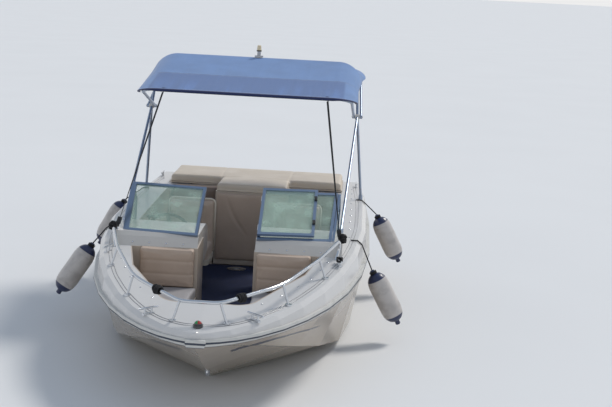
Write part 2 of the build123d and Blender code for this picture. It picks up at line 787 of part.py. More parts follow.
def make_drive():
    """Transom bracket, steered ring, leg, trim cylinders and propeller."""
    housing = block(-120, 120, transom_y, transom_y + 65, -210, 190)
    housing = fillet(housing.edges().filter_by(Axis.Y), 40)
    for z0, z1 in ((170, 190), (-215, -195)):
        housing += block(-45, 45, transom_y + 60, steer_y + 25, z0, z1)
    pin_hole = Pos(0, steer_y, 0) * Cylinder(14.5, 600)
    pieces["transom_bracket"] = housing - pin_hole
    ring = block(-78, 78, steer_y - 25, steer_y + 25, -188, 163)
    for s in (-1, 1):
        ring += block(s * 62, s * 78, steer_y + 20, trim_axis[0] + 22, trim_axis[1] - 24, trim_axis[1] + 24)
    ring += block(-78, 78, steer_y + 20, barrel_pin[0] + 20, barrel_pin[1] - 22, barrel_pin[1] + 22)
    ring += rod((-cylinder_half - 16, *barrel_pin), (cylinder_half + 16, *barrel_pin), 9)
    ring -= rod((-100, *trim_axis), (100, *trim_axis), 12.5)
    ring += Pos(0, steer_y, -10) * Cylinder(14, 420)
    pieces["gimbal_ring"] = ring

    head = block(-70, 70, 2452, 2630, -320, 150)
    head = fillet(head.edges().filter_by(Axis.Z), 45)
    ears = block(-57, 57, trim_axis[0] - 18, 2480, trim_axis[1] - 20, trim_axis[1] + 20)
    pins = rod((-77, *trim_axis), (77, *trim_axis), 12)
    plate = extrude(Pos(0, 2610, -330) * Ellipse(125, 180), 12)
    strut = extrude(Pos(0, 2575, shaft_z) * Ellipse(34, 110), -shaft_z - 320)
    torpedo = Pos(0, 2560, shaft_z) * Rot(90, 0, 0) * Cylinder(50, 250)
    nose = Pos(0, 2435, shaft_z) * Sphere(50)
    skeg_side = Plane(origin=(0, 0, 0), x_dir=(0, 1, 0), z_dir=(1, 0, 0))
    skeg = extrude(
        skeg_side * make_face(
            Polyline((2450, shaft_z), (2640, shaft_z), (2660, shaft_z - 200), (2560, shaft_z - 200), close=True)
        ),
        6,
        both=True,
    )
    anchor = rod((-cylinder_half - 14, *rod_pin), (cylinder_half + 14, *rod_pin), 6)
    shaft = rod((0, 2600, shaft_z), (0, prop_y + 56, shaft_z), shaft_r)
    pieces["drive_leg"] = head + ears + pins + plate + strut + torpedo + nose + skeg + anchor + shaft

    run = Vector(0, rod_pin[0] - barrel_pin[0], rod_pin[1] - barrel_pin[1])
    axis = run.normalized()
    barrels, rods = [], []
    for s in (-1, 1):
        b = Vector(s * cylinder_half, *barrel_pin)
        r = Vector(s * cylinder_half, *rod_pin)
        eye = rod(b - Vector(14, 0, 0), b + Vector(14, 0, 0), 20)
        barrel = rod(b + axis * 10, b + axis * 178, 22) + eye
        barrel -= rod(b - Vector(20, 0, 0), b + Vector(20, 0, 0), 9.5)
        barrels.append(barrel - rod(b + axis * 24, b + axis * 200, 9.5))
        rod_eye = rod(r - Vector(10, 0, 0), r + Vector(10, 0, 0), 22) + rod(b + axis * 30, r, 8.5)
        rods.append(rod_eye - rod(r - Vector(20, 0, 0), r + Vector(20, 0, 0), 15))
    pieces["trim_barrels"] = Compound(children=[s for b in barrels for s in b.solids()])
    pieces["trim_rods"] = Compound(children=[s for r in rods for s in r.solids()])

    hub = Pos(0, prop_y, shaft_z) * Rot(90, 0, 0) * Cylinder(46, 100)
    blade_rows = ((30, 80, 12), (100, 120, 8), (prop_radius, 60, 4))
    faces = []
    for radius, chord, thick in blade_rows:
        pitch = degrees(atan(prop_pitch / (2 * pi * radius)))
        plane = Pos(0, prop_y, shaft_z) * Pos(0, 0, radius) * Rot(0, 0, pitch)
        faces.append(plane * Rectangle(chord, thick))
    blade = loft([f.faces()[0] for f in faces])
    shaft = Axis((0, prop_y, shaft_z), (0, 1, 0))
    for turn in (0, 120, 240):
        hub += blade.rotate(shaft, turn)
    bore = rod((0, prop_y - 80, shaft_z), (0, prop_y + 80, shaft_z), shaft_r + shaft_fit)
    pieces["propeller"] = hub - bore


def make_platform():
    """Swim platform on the transom."""
    face = plan_box(-platform_half, platform_half, transom_y - 300, transom_y + platform_length, 160)
    face = face - plan_box(-2000, 2000, transom_y - 400, transom_y)
    pieces["swim_platform"] = extrude(Pos(0, 0, platform_z) * face, platform_thick)


def make_bow_fittings():
    """Bow light, stem eye, cleats and lifting eyes."""
    base = Pos(0, nav_light_y, deck_z(nav_light_y) + 8) * extrude(Ellipse(34, 46), 14)
    dome = Pos(0, nav_light_y, deck_z(nav_light_y) + 22) * Sphere(28)
    pieces["bow_light"] = (base + dome) - boat_fill
    ahead = bow_y + forefoot_length * (
        1 - ((eye_z + keel_depth) / (keel_depth + sheer_bow_z - stem_gap)) ** (1 / stem_curve)
    )
    ring = Pos(0, ahead - 14, eye_z) * Rot(0, 90, 0) * Torus(24, 6)
    plate = Pos(0, ahead - 2, eye_z) * Rot(38, 0, 0) * Box(36, 12, 90)
    pieces["stem_eye"] = (ring + plate) - outer
    cleats = []
    for y, turn in cleat_rows:
        cleats += cleat(Pos(deck_half(y) - cleat_inset, y, 0) * Rot(0, 0, turn), deck_z(y)).solids()
    pieces["cleats"] = Compound(children=cleats + [mirror_x(c) for c in cleats])


def cleat(place, height):
    """Horn cleat on the side deck."""
    horn = Pos(0, 0, height + 44) * Rot(90, 0, 0) * Cylinder(7, 150)
    legs = [Pos(0, t, height - 5) * extrude(Circle(8), 50) for t in (-26, 26)]
    foot = Pos(0, 0, height - 5) * extrude(Rectangle(26, 84), 14)
    return place * (horn + legs + foot) - boat_fill


def make_fenders():
    """Fenders that hang outside the rub rail, each on its rope."""
    ropes, shapes = [], []
    for top, low, rope_y in fender_rows:
        down = (Vector(*low) - Vector(*top)).normalized()
        plane = Plane(origin=top, z_dir=down)
        shape = plane * fender_profile()
        shapes.append(shape.solid())
        side = 1 if top[0] > 0 else -1
        edge, height = deck_half(rope_y), deck_z(rope_y)
        chamfer = 0.6 * deck_edge_round
        over = [
            Vector(side * (edge - 70), rope_y, deck_top(edge - 70, rope_y) + rope_lift),
            Vector(side * (edge - chamfer + 0.36 * rope_lift), rope_y, height + rope_lift),
            Vector(side * (edge + chamfer + 0.8 * rope_lift), rope_y, height - deck_edge_round + 0.66 * rope_lift),
        ]
        slant = (Vector(*top) - over[-1]).normalized()
        end = Vector(*top) - down * (cushion_gap + rope_r * slant.cross(down).length)
        ropes.append(tube(over + [end], [8, 8], rope_r))
    pieces["fenders"] = Compound(children=shapes)
    pieces["fender_ropes"] = Compound(children=[s for r in ropes for s in r.solids()])


def fender_profile():
    """Inflated fender along Z from its upper eye."""
    r, full = fender_radius, fender_length
    points = [(0, 0), (26, 0), (26, 34), (r * 0.72, 62)]
    path = Polyline(*points) + ThreePointArc((r * 0.72, 62), (r * 0.95, 92), (r, 130))
    path += Line((r, 130), (r, full - 130))
    path += ThreePointArc((r, full - 130), (r * 0.95, full - 92), (r * 0.72, full - 62))
    path += Polyline((r * 0.72, full - 62), (26, full - 34), (26, full), (0, full), (0, 0))
    half = Plane.XZ * make_face(path.edges())
    return revolve(half, Axis.Z)


def rail_point(y, inset):
    """Middle of the rail's tube above the deck, a given way inside the deck's edge."""
    return Vector(deck_half(y) - inset, y, deck_z(y) + rail_height)


def make_bow_rail():
    """Bow rail with three pairs of stanchions and bent-down ends."""
    end_y, end_inset, foot_y = rail_end
    tops = [rail_point(end_y, end_inset)] + [rail_point(y, top_in) for y, foot_in, top_in in rail_posts]
    end_foot = Vector(deck_half(foot_y) - end_inset - 25, foot_y, deck_z(foot_y) - 2)
    side = [end_foot] + tops
    points = side + [Vector(-v.X, v.Y, v.Z) for v in reversed(side)]
    rail = tube(points, rail_bends + rail_bends[::-1], rail_r)
    for y, foot_in, top_in in rail_posts:
        top = rail_point(y, top_in)
        foot = Vector(deck_half(y) - foot_in, y + 20, deck_z(y) - 2)
        post = rod(foot, top, post_r)
        disc = Pos(foot.X, foot.Y, foot.Z + 8) * Cylinder(24, 14)
        rail = rail + post + mirror_x(post) + disc + mirror_x(disc)
    pieces["bow_rail"] = rail - boat_fill


make_hull()
make_engine()
make_floor()
make_windscreen()
make_helm()
make_bow_seats()
posts = [make_seat("helm", -1), make_seat("passenger", 1)]
pieces["seat_pedestals"] = Compound(children=posts)
make_aft_seats()
make_hood()
make_canopy()
make_straps()
make_drive()
make_platform()
make_bow_rail()
make_bow_fittings()
make_fenders()

os.makedirs("parts", exist_ok=True)
for node, shape in pieces.items():
    export_step(shape, f"parts/{node}.step")
    print(node, len(shape.solids()), round(sum(s.volume for s in shape.solids()) / 1e6, 3))
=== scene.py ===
# %% [markdown]
# # An open-bow runabout, afloat
#
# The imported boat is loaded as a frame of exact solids. This notebook dresses it: each soft part gets a sewn,
# crowned mesh of its own, the canopy becomes one taut curved cloth, and each surface gets a procedural finish.
# Lengths are metres. X runs to port, Y runs aft, Z runs up, and the waterline is at zero.

# %% Load the frame
from math import cos, pi, radians, sin

import bmesh
import bpy
import numpy as np
from mathutils import Matrix, Vector
from mathutils.bvhtree import BVHTree


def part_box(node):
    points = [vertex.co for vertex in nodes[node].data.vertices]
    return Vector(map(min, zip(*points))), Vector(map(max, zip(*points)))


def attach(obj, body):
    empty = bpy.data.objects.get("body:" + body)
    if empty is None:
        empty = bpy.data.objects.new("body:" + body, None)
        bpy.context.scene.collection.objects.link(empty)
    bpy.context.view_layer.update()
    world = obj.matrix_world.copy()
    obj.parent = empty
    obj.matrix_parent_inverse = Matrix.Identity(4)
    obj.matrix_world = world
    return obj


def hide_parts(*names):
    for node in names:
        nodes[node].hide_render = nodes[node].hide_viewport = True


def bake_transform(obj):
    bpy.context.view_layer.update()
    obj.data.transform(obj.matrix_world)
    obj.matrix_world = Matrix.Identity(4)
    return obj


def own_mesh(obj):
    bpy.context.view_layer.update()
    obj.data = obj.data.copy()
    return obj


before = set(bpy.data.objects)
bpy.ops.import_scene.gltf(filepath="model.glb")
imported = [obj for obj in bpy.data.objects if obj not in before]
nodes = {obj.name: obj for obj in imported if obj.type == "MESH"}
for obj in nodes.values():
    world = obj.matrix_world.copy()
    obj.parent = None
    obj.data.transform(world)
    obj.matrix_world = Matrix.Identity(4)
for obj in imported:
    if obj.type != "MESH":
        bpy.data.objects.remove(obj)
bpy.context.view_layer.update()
scene = bpy.context.scene

# %% [markdown]
# ## Camera
#
# The boat is seen from ahead of its bow and a little above it, through a long lens. The place, the angles and the
# lens come from least squares fits to points of the photograph. The matrix holds the camera's right, up and
# backward directions as columns, which is easier to check than Euler angles.

# %% Set the camera
def placed(name, data):
    """A new object in the scene's own collection."""
    made = bpy.data.objects.new(name, data)
    scene.collection.objects.link(made)
    return made


EYE = Vector((0.95, -9.625, 2.863))
YAW, PITCH, ROLL = radians(-2.27), radians(10.71), radians(2.96)
look = Vector((sin(YAW) * cos(PITCH), cos(YAW) * cos(PITCH), -sin(PITCH)))
level = Vector((cos(YAW), -sin(YAW), 0.0))
lift = level.cross(look)
right = cos(ROLL) * level + sin(ROLL) * lift
above = cos(ROLL) * lift - sin(ROLL) * level
lens = bpy.data.cameras.new("bow_view")
lens.lens, lens.sensor_width, lens.clip_end = 67.2, 36.0, 4000.0
camera = placed("bow_view", lens)
columns = Matrix((right, above, -look)).transposed().to_4x4()
camera.matrix_world = Matrix.Translation(EYE) @ columns
scene.camera = camera
scene.view_settings.view_transform = "Standard"
print("camera at", tuple(EYE))

# %% [markdown]
# ## Writing shaders as sums
#
# A node tree is easier to read as arithmetic. `Wire` wraps a socket and turns + - * / into Math nodes; only a minus
# may have its number on the left. `Nodes.node` makes any other node from its type, its settings and its inputs.

# %% The wire
class Wire:
    """A socket that can take part in sums; each operator adds one Math node."""

    def __init__(self, maker, socket):
        self.maker, self.socket = maker, socket

    def sum(self, operation, a, b=None):
        """One Math node of a and b."""
        return self.maker.node("ShaderNodeMath", {"operation": operation}, {0: a, 1: b})

    def __add__(self, other): return self.sum("ADD", self, other)
    def __sub__(self, other): return self.sum("SUBTRACT", self, other)
    def __rsub__(self, other): return self.sum("SUBTRACT", other, self)
    def __mul__(self, other): return self.sum("MULTIPLY", self, other)
    def __truediv__(self, other): return self.sum("DIVIDE", self, other)
    def __abs__(self): return self.sum("ABSOLUTE", self)
    def __pow__(self, other): return self.sum("POWER", self, other)
    def above(self, edge): return self.sum("GREATER_THAN", self, edge)  # 1 above the edge, else 0
    def wave(self): return self.sum("SINE", self)  # the sine of an angle in radians
    def most(self, other): return self.sum("MAXIMUM", self, other)  # the larger of the two

    def step(self, low, high):
        """Smooth change from 0 at low to 1 at high."""
        settings = {"interpolation_type": "SMOOTHSTEP"}
        return self.maker.node("ShaderNodeMapRange", settings, {"Value": self, "From Min": low, "From Max": high})

# %% The node maker
class Nodes:
    """Makes and joins the nodes of one tree."""

    def __init__(self, tree):
        self.tree = tree

    def node(self, kind, settings=None, inputs=None, out=0):
        """A node of a kind with its settings and inputs, as the wire of one output."""
        made = self.tree.nodes.new(kind)
        for key, value in (settings or {}).items():
            setattr(made, key, value)
        for key, value in (inputs or {}).items():
            self.join(made.inputs[key], value)
        return Wire(self, made.outputs[out])

    def join(self, socket, value):
        """Links a wire to the socket, or sets a plain value there."""
        if isinstance(value, Wire):
            self.tree.links.new(value.socket, socket)
        elif value is not None:
            socket.default_value = value

    def split(self, vector):
        """The three parts of a vector as wires."""
        parts = self.tree.nodes.new("ShaderNodeSeparateXYZ")
        self.join(parts.inputs[0], vector)
        return [Wire(self, part) for part in parts.outputs]

    def mix(self, share, a, b):
        """Colour between a and b."""
        inputs = {0: share, 6: self.rgba(a), 7: self.rgba(b)}
        return self.node("ShaderNodeMix", {"data_type": "RGBA"}, inputs, out=2)

    def rgba(self, value):
        """A colour with full alpha; a wire stays as it is."""
        return value if isinstance(value, Wire) else (*value, 1.0)

# %% A finish, its patterns and its shader
class Finish(Nodes):
    """A material: patterns in object metres, and one shader at the end."""

    def __init__(self, name):
        self.material = bpy.data.materials.new(name)
        self.material.use_nodes = True
        super().__init__(self.material.node_tree)
        self.shader = self.tree.nodes["Principled BSDF"]
        self.place = self.node("ShaderNodeTexCoord", out="Object")

    def axes(self):
        """The three coordinates as wires."""
        return self.split(self.place)

    def upward(self):
        """The upward part of the surface direction."""
        return self.split(self.node("ShaderNodeNewGeometry", out="Normal"))[2]

    def sheet_uv(self):
        """The piece's own u and v as wires."""
        return self.split(self.node("ShaderNodeUVMap", {"uv_map": "UVMap"}))[:2]

    def stretch(self, x, y, z):
        """Object coordinates scaled apart, for streaks."""
        return self.node("ShaderNodeMapping", inputs={"Vector": self.place, "Scale": (x, y, z)})

    def noise(self, scale, detail=3.0, place=None):
        """Cloudy values from 0 to 1, with scale features to the metre."""
        inputs = {"Vector": place or self.place, "Scale": scale, "Detail": detail}
        return self.node("ShaderNodeTexNoise", inputs=inputs)

    def cells(self, scale):
        """Distance to the nearest of scattered points, scale of them to the metre."""
        return self.node("ShaderNodeTexVoronoi", inputs={"Vector": self.place, "Scale": scale})

    def finish(self, height=None, **sockets):
        """Sets the shader's sockets; height is the relief in metres."""
        for key, value in sockets.items():
            self.join(self.shader.inputs[key.replace("_", " ")], value)
        if height is not None:
            inputs = {"Height": height, "Strength": 1.0, "Distance": 1.0}
            self.join(self.shader.inputs["Normal"], self.node("ShaderNodeBump", inputs=inputs))
        return self.material


def shaded(colour, gain, lift=0.0):
    """The colour times a gain, plus a lift, and never above white."""
    return [min(1.0, c * gain + lift) for c in colour]


print("shader helpers ready")

# %% [markdown]
# ## Gelcoat
#
# Gelcoat is a thick glossy paint that was sprayed into the mould. It is almost smooth, slightly wavy, chalks a
# little with age and gathers a faint stain near the water. The waves are a low noise, the chalking is a noise in
# the roughness, and the stain is a height mask broken by a second noise.

# %% Gelcoat for the hull, the deck and the liner
def gelcoat(name, colour, stain=0.0, grip=False, stripes=False):
    """Colour times (1 - small cloud), a stain that fades above the water, and anti-slip dots on level places."""
    f = Finish(name)
    x, y, z = f.axes()
    cloud = f.noise(2.2, 4.0)
    speck = f.noise(90.0, 2.0)
    tint = f.mix(cloud, shaded(colour, 0.93), colour)
    if stain:
        streak = f.noise(1.0, 4.0, f.stretch(14.0, 14.0, 1.2))
        mask = (1.0 - z.step(0.0, 0.30)) * streak.step(0.35, 0.75) * stain
        tint = f.mix(mask, tint, (0.30, 0.27, 0.19))
        line = (1.0 - z.step(0.015, 0.05)) * 0.45
        tint = f.mix(line, tint, (0.17, 0.17, 0.12))
    if stripes:
        tint = boot_stripes(f, x, y, z, tint)
    relief = cloud * 0.0006 + speck * 0.00002
    rough = cloud * 0.12 + 0.16
    if grip:
        dots = 1.0 - f.cells(130.0).step(0.1, 0.5)
        flat = f.upward().step(0.93, 0.98)
        relief = relief + dots * flat * 0.00035
        rough = rough + flat * 0.22
    return f.finish(relief, Base_Color=tint, Roughness=rough, Coat_Weight=0.35, Coat_Roughness=0.12)


def boot_stripes(f, x, y, z, tint):
    """Navy lines on the bow flare: to port z = 0.462 - 0.686 (x - 0.48)^2, to starboard z = 0.434 - 0.113 |x|."""
    out = abs(x)
    fore = 1.0 - y.step(-1.20, -1.15)
    thick = 1.0 - out.step(0.2, 0.8) * 0.4

    def line(off, half, start, stop, side):
        """A line of one half thickness, from start to stop in |x|, where side is above zero."""
        body = 1.0 - (abs(off) / thick).step(half, half + 0.0020)
        return body * out.step(*start) * (1.0 - out.step(*stop)) * side.above(0.0)

    port = line(z - 0.462 + (out - 0.48) ** 2.0 * 0.686, 0.0140, (0.19, 0.205), (0.74, 0.79), x)
    board = line(z - 0.434 + out * 0.113, 0.0150, (0.13, 0.145), (0.37, 0.40), x * -1.0)
    return f.mix(port.most(board) * fore, tint, (0.012, 0.018, 0.045))


# The hull is white gelcoat; its dark beige colour is painted shade of the topsides under the rub rail.
hull_gel_painted_shade = gelcoat("hull_gelcoat_painted_shade", (0.36, 0.31, 0.255), stain=0.6, stripes=True)
deck_gel = gelcoat("deck_gelcoat", (0.62, 0.615, 0.61), grip=True)
liner_gel = gelcoat("liner_gelcoat", (0.52, 0.45, 0.38), grip=True)
console_gel = gelcoat("console_gelcoat", (0.60, 0.58, 0.55))
print("gelcoat", hull_gel_painted_shade.name, deck_gel.name, liner_gel.name)

# %% [markdown]
# ## Vinyl, cloth and carpet
#
# Marine vinyl has a pebbled grain about a millimetre wide and soft hollows where it was pulled over foam. The
# canopy is woven acrylic: two crossed sets of threads, paler on the crown and rear as painted light, and darker on
# the front panel, a second layer, as painted shade. The carpet is short pile, which looks like a fine noise that
# catches no highlight.

# %% Vinyl
def vinyl(name, colour, shade=0.86):
    """Cell grain plus slow hollows, darker in the hollows as painted shade; worn places are smoother and paler."""
    f = Finish(name)
    grain = f.cells(620.0)
    hollow = f.noise(7.0, 3.0)
    wear = f.noise(3.0, 5.0).step(0.45, 0.75)
    # Where the hollow noise is low the relief is lowest, and there the colour is darkened as painted shade.
    tint = f.mix(hollow, shaded(colour, shade), colour)
    tint = f.mix(wear * 0.35, tint, shaded(colour, 1.08, 0.01))
    dirt = f.noise(26.0, 6.0).step(0.62, 0.8) * 0.18
    tint = f.mix(dirt, tint, shaded(colour, 0.62))
    relief = grain * 0.00022 + hollow * 0.004
    return f.finish(relief, Base_Color=tint, Roughness=0.52 - wear * 0.14, Coat_Weight=0.06, Coat_Roughness=0.4)


tan_vinyl = vinyl("tan_vinyl", (0.52, 0.41, 0.33))
# The bolsters are the tan vinyl; this colour is the tan times about 0.42, which is painted shade.
tan_vinyl_in_shade = vinyl("tan_vinyl_in_shade", (0.22, 0.17, 0.14))
cream_vinyl = vinyl("cream_vinyl", (0.64, 0.56, 0.46), 0.9)
# Grey stands for the bow cushions as they look in shade: painted shade.
shade_grey_vinyl = vinyl("shade_grey_vinyl", (0.36, 0.35, 0.36))
piping_vinyl = vinyl("piping_vinyl", (0.74, 0.68, 0.58), 0.95)
print("vinyl", tan_vinyl.name, cream_vinyl.name, shade_grey_vinyl.name)

# %% Woven cloth
def canvas(name, panel, hem, sunlit_cloth):
    """Threads are two sine sets; hem, seam and front panel are bands of u and v in metres of cloth. The front panel,
    a second layer, is darker as painted shade, the rest paler as painted light; the hem is navy.
    """
    f = Finish(name)
    u, v = f.sheet_uv()
    y = f.axes()[1]
    seam_at = 0.589
    thread = (u * 2600.0).wave() * (v * 2600.0).wave()
    cloud = f.noise(3.5, 5.0)
    drip = f.noise(1.0, 4.0, f.stretch(11.0, 0.8, 0.8)).step(0.40, 0.75) * (1.0 - y.step(1.1, 1.2))
    middle = (1.0 - abs(u).step(0.83, 0.86)) * (1.0 - v.step(0.585, 0.592))
    # The paler blue of the last argument stands for the crown and rear in sunlight: painted light.
    tint = f.mix(cloud.step(0.3, 0.75), sunlit_cloth, shaded(sunlit_cloth, 0.86))
    # The front panel's darker blue is partly a second layer of cloth and partly painted shade.
    lower = f.mix(drip * (1.0 - v.step(0.1, 0.5)) * 0.7, panel, shaded(panel, 1.5))
    tint = f.mix(middle, tint, lower)
    band = 1.0 - v.step(0.053, 0.057)
    tint = f.mix(band, tint, hem)
    wave = (u * 900.0).wave().step(-0.2, 0.3)
    stitch = (1.0 - abs(v - 0.066).step(0.0012, 0.002)) * wave
    seam = 1.0 - abs(v - seam_at).step(0.004, 0.007)
    double = (1.0 - abs(abs(v - seam_at) - 0.014).step(0.001, 0.0018)) * wave
    tint = f.mix(seam * 0.6, tint, shaded(panel, 0.5))
    tint = f.mix(stitch.most(double) * 0.8, tint, (0.55, 0.60, 0.68))
    relief = thread * 0.00008 + cloud * 0.002 - seam * 0.0012
    return f.finish(relief, Base_Color=tint, Roughness=0.82, Sheen_Weight=0.25, Sheen_Roughness=0.5)

# %% Rope, webbing and carpet
def rope(name, colour):
    """Laid strands: slanted bands in all three directions read as twist on a thin line; each band is darker in its
    groove and lighter on its crest, as painted shade and painted highlight.
    """
    f = Finish(name)
    x, y, z = f.axes()
    strand_relief_and_shade = ((x + y * 0.9 + z * 1.1) * 780.0).wave()
    fuzz = f.noise(700.0, 2.0)
    # Dark in the grooves and light on the strand crests: painted shade and painted highlight.
    tint = f.mix(strand_relief_and_shade.step(-1.0, 1.0), shaded(colour, 0.5), shaded(colour, 1.6))
    return f.finish(strand_relief_and_shade * 0.0006 + fuzz * 0.0003, Base_Color=tint, Roughness=0.85)


def webbing(name, colour):
    """Ribs across and along the flat strap, from its own u and v; the colour is darker in the grooves and lighter on
    the ribs as painted shade and painted highlight.
    """
    f = Finish(name)
    u, v = f.sheet_uv()
    rib_relief_and_shade = (v * 2900.0).wave() * 0.6 + (u * 1500.0).wave() * 0.4
    # Darker in the grooves and lighter on the ribs: painted shade and painted highlight.
    tint = f.mix(rib_relief_and_shade.step(-1.0, 1.0), shaded(colour, 0.6), shaded(colour, 1.8))
    return f.finish(rib_relief_and_shade * 0.00018, Base_Color=tint, Roughness=0.8)


def carpet(name, colour):
    """Short pile: two fine noises in the relief and the colour, the low pile darker as painted shade and the high
    pile lighter as painted highlight, and faint lanes where feet pass.
    """
    f = Finish(name)
    pile = f.noise(520.0, 3.0)
    lanes = f.noise(5.0, 3.0, f.stretch(1.0, 0.35, 1.0))
    # The low pile is darkened and the high pile lightened: painted shade and painted highlight.
    tint = f.mix(pile.step(0.3, 0.7), shaded(colour, 0.45), shaded(colour, 1.7))
    tint = f.mix(lanes.step(0.5, 0.8) * 0.4, tint, shaded(colour, 2.2, 0.01))
    return f.finish(pile * 0.0022, Base_Color=tint, Roughness=0.95)


# Front panel blue, darker as painted shade; navy hem; paler blue for the rest of the cloth as painted light.
canvas_cloth = canvas("canopy_cloth", (0.052, 0.130, 0.330), (0.010, 0.020, 0.085), (0.105, 0.225, 0.480))
black_rope = rope("black_rope", (0.012, 0.012, 0.014))
black_webbing = webbing("black_webbing", (0.010, 0.010, 0.012))
navy_carpet = carpet("navy_carpet", (0.010, 0.016, 0.050))
print("cloth", canvas_cloth.name, black_rope.name, navy_carpet.name)

# %% [markdown]
# ## Metal, glass and plastic
#
# Polished stainless is a mirror with faint wipe marks; the windscreen frame is brushed aluminium with a blue-grey
# anodic film; tempered glass is pale green and catches more light at a slant, which Layer Weight gives. Plastics
# differ mostly by roughness and by a fine spark-eroded grain.

# %% Metals
def metal(name, colour, rough, brushed=(1.0, 1.0, 1.0), stain=None):
    """Roughness and relief follow one stretched noise, the direction of the polishing."""
    f = Finish(name)
    wipe = f.noise(60.0, 4.0, f.stretch(*brushed))
    cloud = f.noise(5.0, 3.0)
    tint = f.mix(cloud, shaded(colour, 0.9), colour)
    if stain:
        spots = f.noise(30.0, 5.0).step(0.55, 0.8)
        tint = f.mix(spots * 0.5, tint, stain)
    return f.finish(wipe * 0.00006, Base_Color=tint, Metallic=1.0, Roughness=wipe * 0.14 + rough)


stainless = metal("polished_stainless", (0.66, 0.68, 0.71), 0.10)
# Stainless steel is grey; the blue in this colour is painted reflection of the sky, while the rust spots are real.
weathered_sky_tinted = metal("sky_tinted_weathered_stainless", (0.36, 0.42, 0.52), 0.34, stain=(0.30, 0.20, 0.13))
anodised = metal("blue_grey_anodised", (0.27, 0.34, 0.45), 0.24, (1.0, 8.0, 8.0))
satin_alloy = metal("satin_alloy", (0.50, 0.50, 0.51), 0.34)
bronze_steel = metal("propeller_steel", (0.50, 0.49, 0.47), 0.24, stain=(0.28, 0.24, 0.16))
print("metals", stainless.name, anodised.name)

# %% Glass and lenses
def glass(name, colour, clear):
    """Alpha is a base share plus the slant, and dust in a noise makes it a little milky."""
    f = Finish(name)
    slant = f.node("ShaderNodeLayerWeight", inputs={"Blend": 0.35}, out="Facing")
    dust = f.noise(9.0, 6.0).step(0.4, 0.75)
    alpha = slant * 0.35 + dust * 0.10 + clear
    tint = f.mix(dust, colour, shaded(colour, 1.2))
    return f.finish(dust * 0.00004, Base_Color=tint, Roughness=dust * 0.10 + 0.03, Alpha=alpha)


def bow_lens(name):
    """A dark foot, and above it red to port and green to starboard."""
    f = Finish(name)
    x, _, z = f.axes()
    tint = f.mix(x.above(0.0), (0.02, 0.25, 0.07), (0.45, 0.02, 0.015))
    foot = 1.0 - z.step(0.668, 0.669)
    tint = f.mix(foot, tint, (0.05, 0.05, 0.055))
    ribs = (abs(x) * 900.0).wave() * 0.0002
    return f.finish(ribs, Base_Color=tint, Roughness=foot * 0.3 + 0.12, Coat_Weight=0.5)


screen_glass = glass("green_tempered_glass", (0.50, 0.66, 0.56), 0.20)
bow_light_lens = bow_lens("bow_light_lens")
print("glass", screen_glass.name)

# %% Plastics and the lamp's lens
def plastic(name, colour, rough, grain=0.0001, coat=0.0):
    """A spark-eroded grain, and a slow cloud that keeps the gloss from being even."""
    f = Finish(name)
    cloud = f.noise(8.0, 4.0)
    pits = f.cells(700.0)
    scuff = f.noise(24.0, 6.0).step(0.6, 0.8)
    tint = f.mix(cloud, shaded(colour, 0.86), colour)
    tint = f.mix(scuff * 0.25, tint, shaded(colour, 1.3, 0.02))
    return f.finish(pits * grain, Base_Color=tint, Roughness=cloud * 0.1 + scuff * 0.1 + rough, Coat_Weight=coat)


def lamp_lens(name):
    """Black collar below, warm ribbed lens above."""
    f = Finish(name)
    z = f.axes()[2]
    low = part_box("canopy_light_lens")[0].z
    collar = 1.0 - z.step(low + 0.0115, low + 0.0125)
    tint = f.mix(collar, (0.80, 0.66, 0.42), (0.015, 0.015, 0.017))
    ribs = (z * 1500.0).wave() * (1.0 - collar) * 0.0003
    return f.finish(ribs, Base_Color=tint, Roughness=collar * 0.3 + 0.12, Coat_Weight=0.4)

# %% The rub rail's vinyl and the gauge faces
def rub_rail(name):
    """Off-white vinyl with a dark insert: the distance to the sloping plane of the joint picks the insert."""
    f = Finish(name)
    _, y, z = f.axes()
    off = z - ((y + 2.55) * 0.033684 + 0.560)
    insert = 1.0 - abs(off).step(0.006, 0.0075)
    low = 1.0 - off.step(-0.0245, -0.022)
    scuff = f.noise(18.0, 6.0, f.stretch(1.0, 0.4, 2.0)).step(0.5, 0.8)
    tint = f.mix(scuff * 0.5, (0.56, 0.56, 0.54), (0.34, 0.33, 0.31))
    tint = f.mix(insert.most(low), tint, (0.035, 0.045, 0.070))
    relief = insert * -0.002 + scuff * 0.0003
    return f.finish(relief, Base_Color=tint, Roughness=scuff * 0.2 + 0.38)


def dial(name):
    """A gauge face in u, v: white ticks at equal angles near the rim, a pale needle and a black ground."""
    f = Finish(name)
    u, v = f.sheet_uv()
    ticks = (u * (2 * pi * 20)).wave().above(0.86) * v.above(0.30) * (1.0 - v.above(0.42))
    needle = (1.0 - abs(u - 0.62).step(0.008, 0.014)) * (1.0 - v.above(0.34))
    tint = f.mix(ticks.most(needle), (0.012, 0.012, 0.014), (0.75, 0.75, 0.70))
    return f.finish(v * 0.0001, Base_Color=tint, Roughness=0.2, Coat_Weight=0.8)

# %% Make the plastics, paints and lenses
black_plastic = plastic("black_plastic", (0.016, 0.016, 0.018), 0.42)
seat_plastic = plastic("seat_plastic", (0.60, 0.54, 0.45), 0.34, coat=0.2)
white_nylon = plastic("white_nylon", (0.68, 0.66, 0.62), 0.38)
lamp_base = metal("lamp_base_silver", (0.42, 0.43, 0.45), 0.30)
grip_black = plastic("wheel_grip", (0.018, 0.018, 0.020), 0.55, 0.0004)
drive_enamel = plastic("drive_enamel", (0.030, 0.033, 0.040), 0.30, coat=0.4)
engine_enamel = plastic("engine_enamel", (0.025, 0.026, 0.030), 0.5)
lamp_glass = lamp_lens("lamp_lens")
rail_vinyl = rub_rail("rub_rail_vinyl")
dial_face = dial("gauge_face")
print("plastics", black_plastic.name, rail_vinyl.name)

# %% [markdown]
# ## Finishes for the exact solids
#
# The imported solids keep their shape, so they only change the material in their slots. A table from finish to
# nodes is the whole step, and the count at the end shows that no node was forgotten.

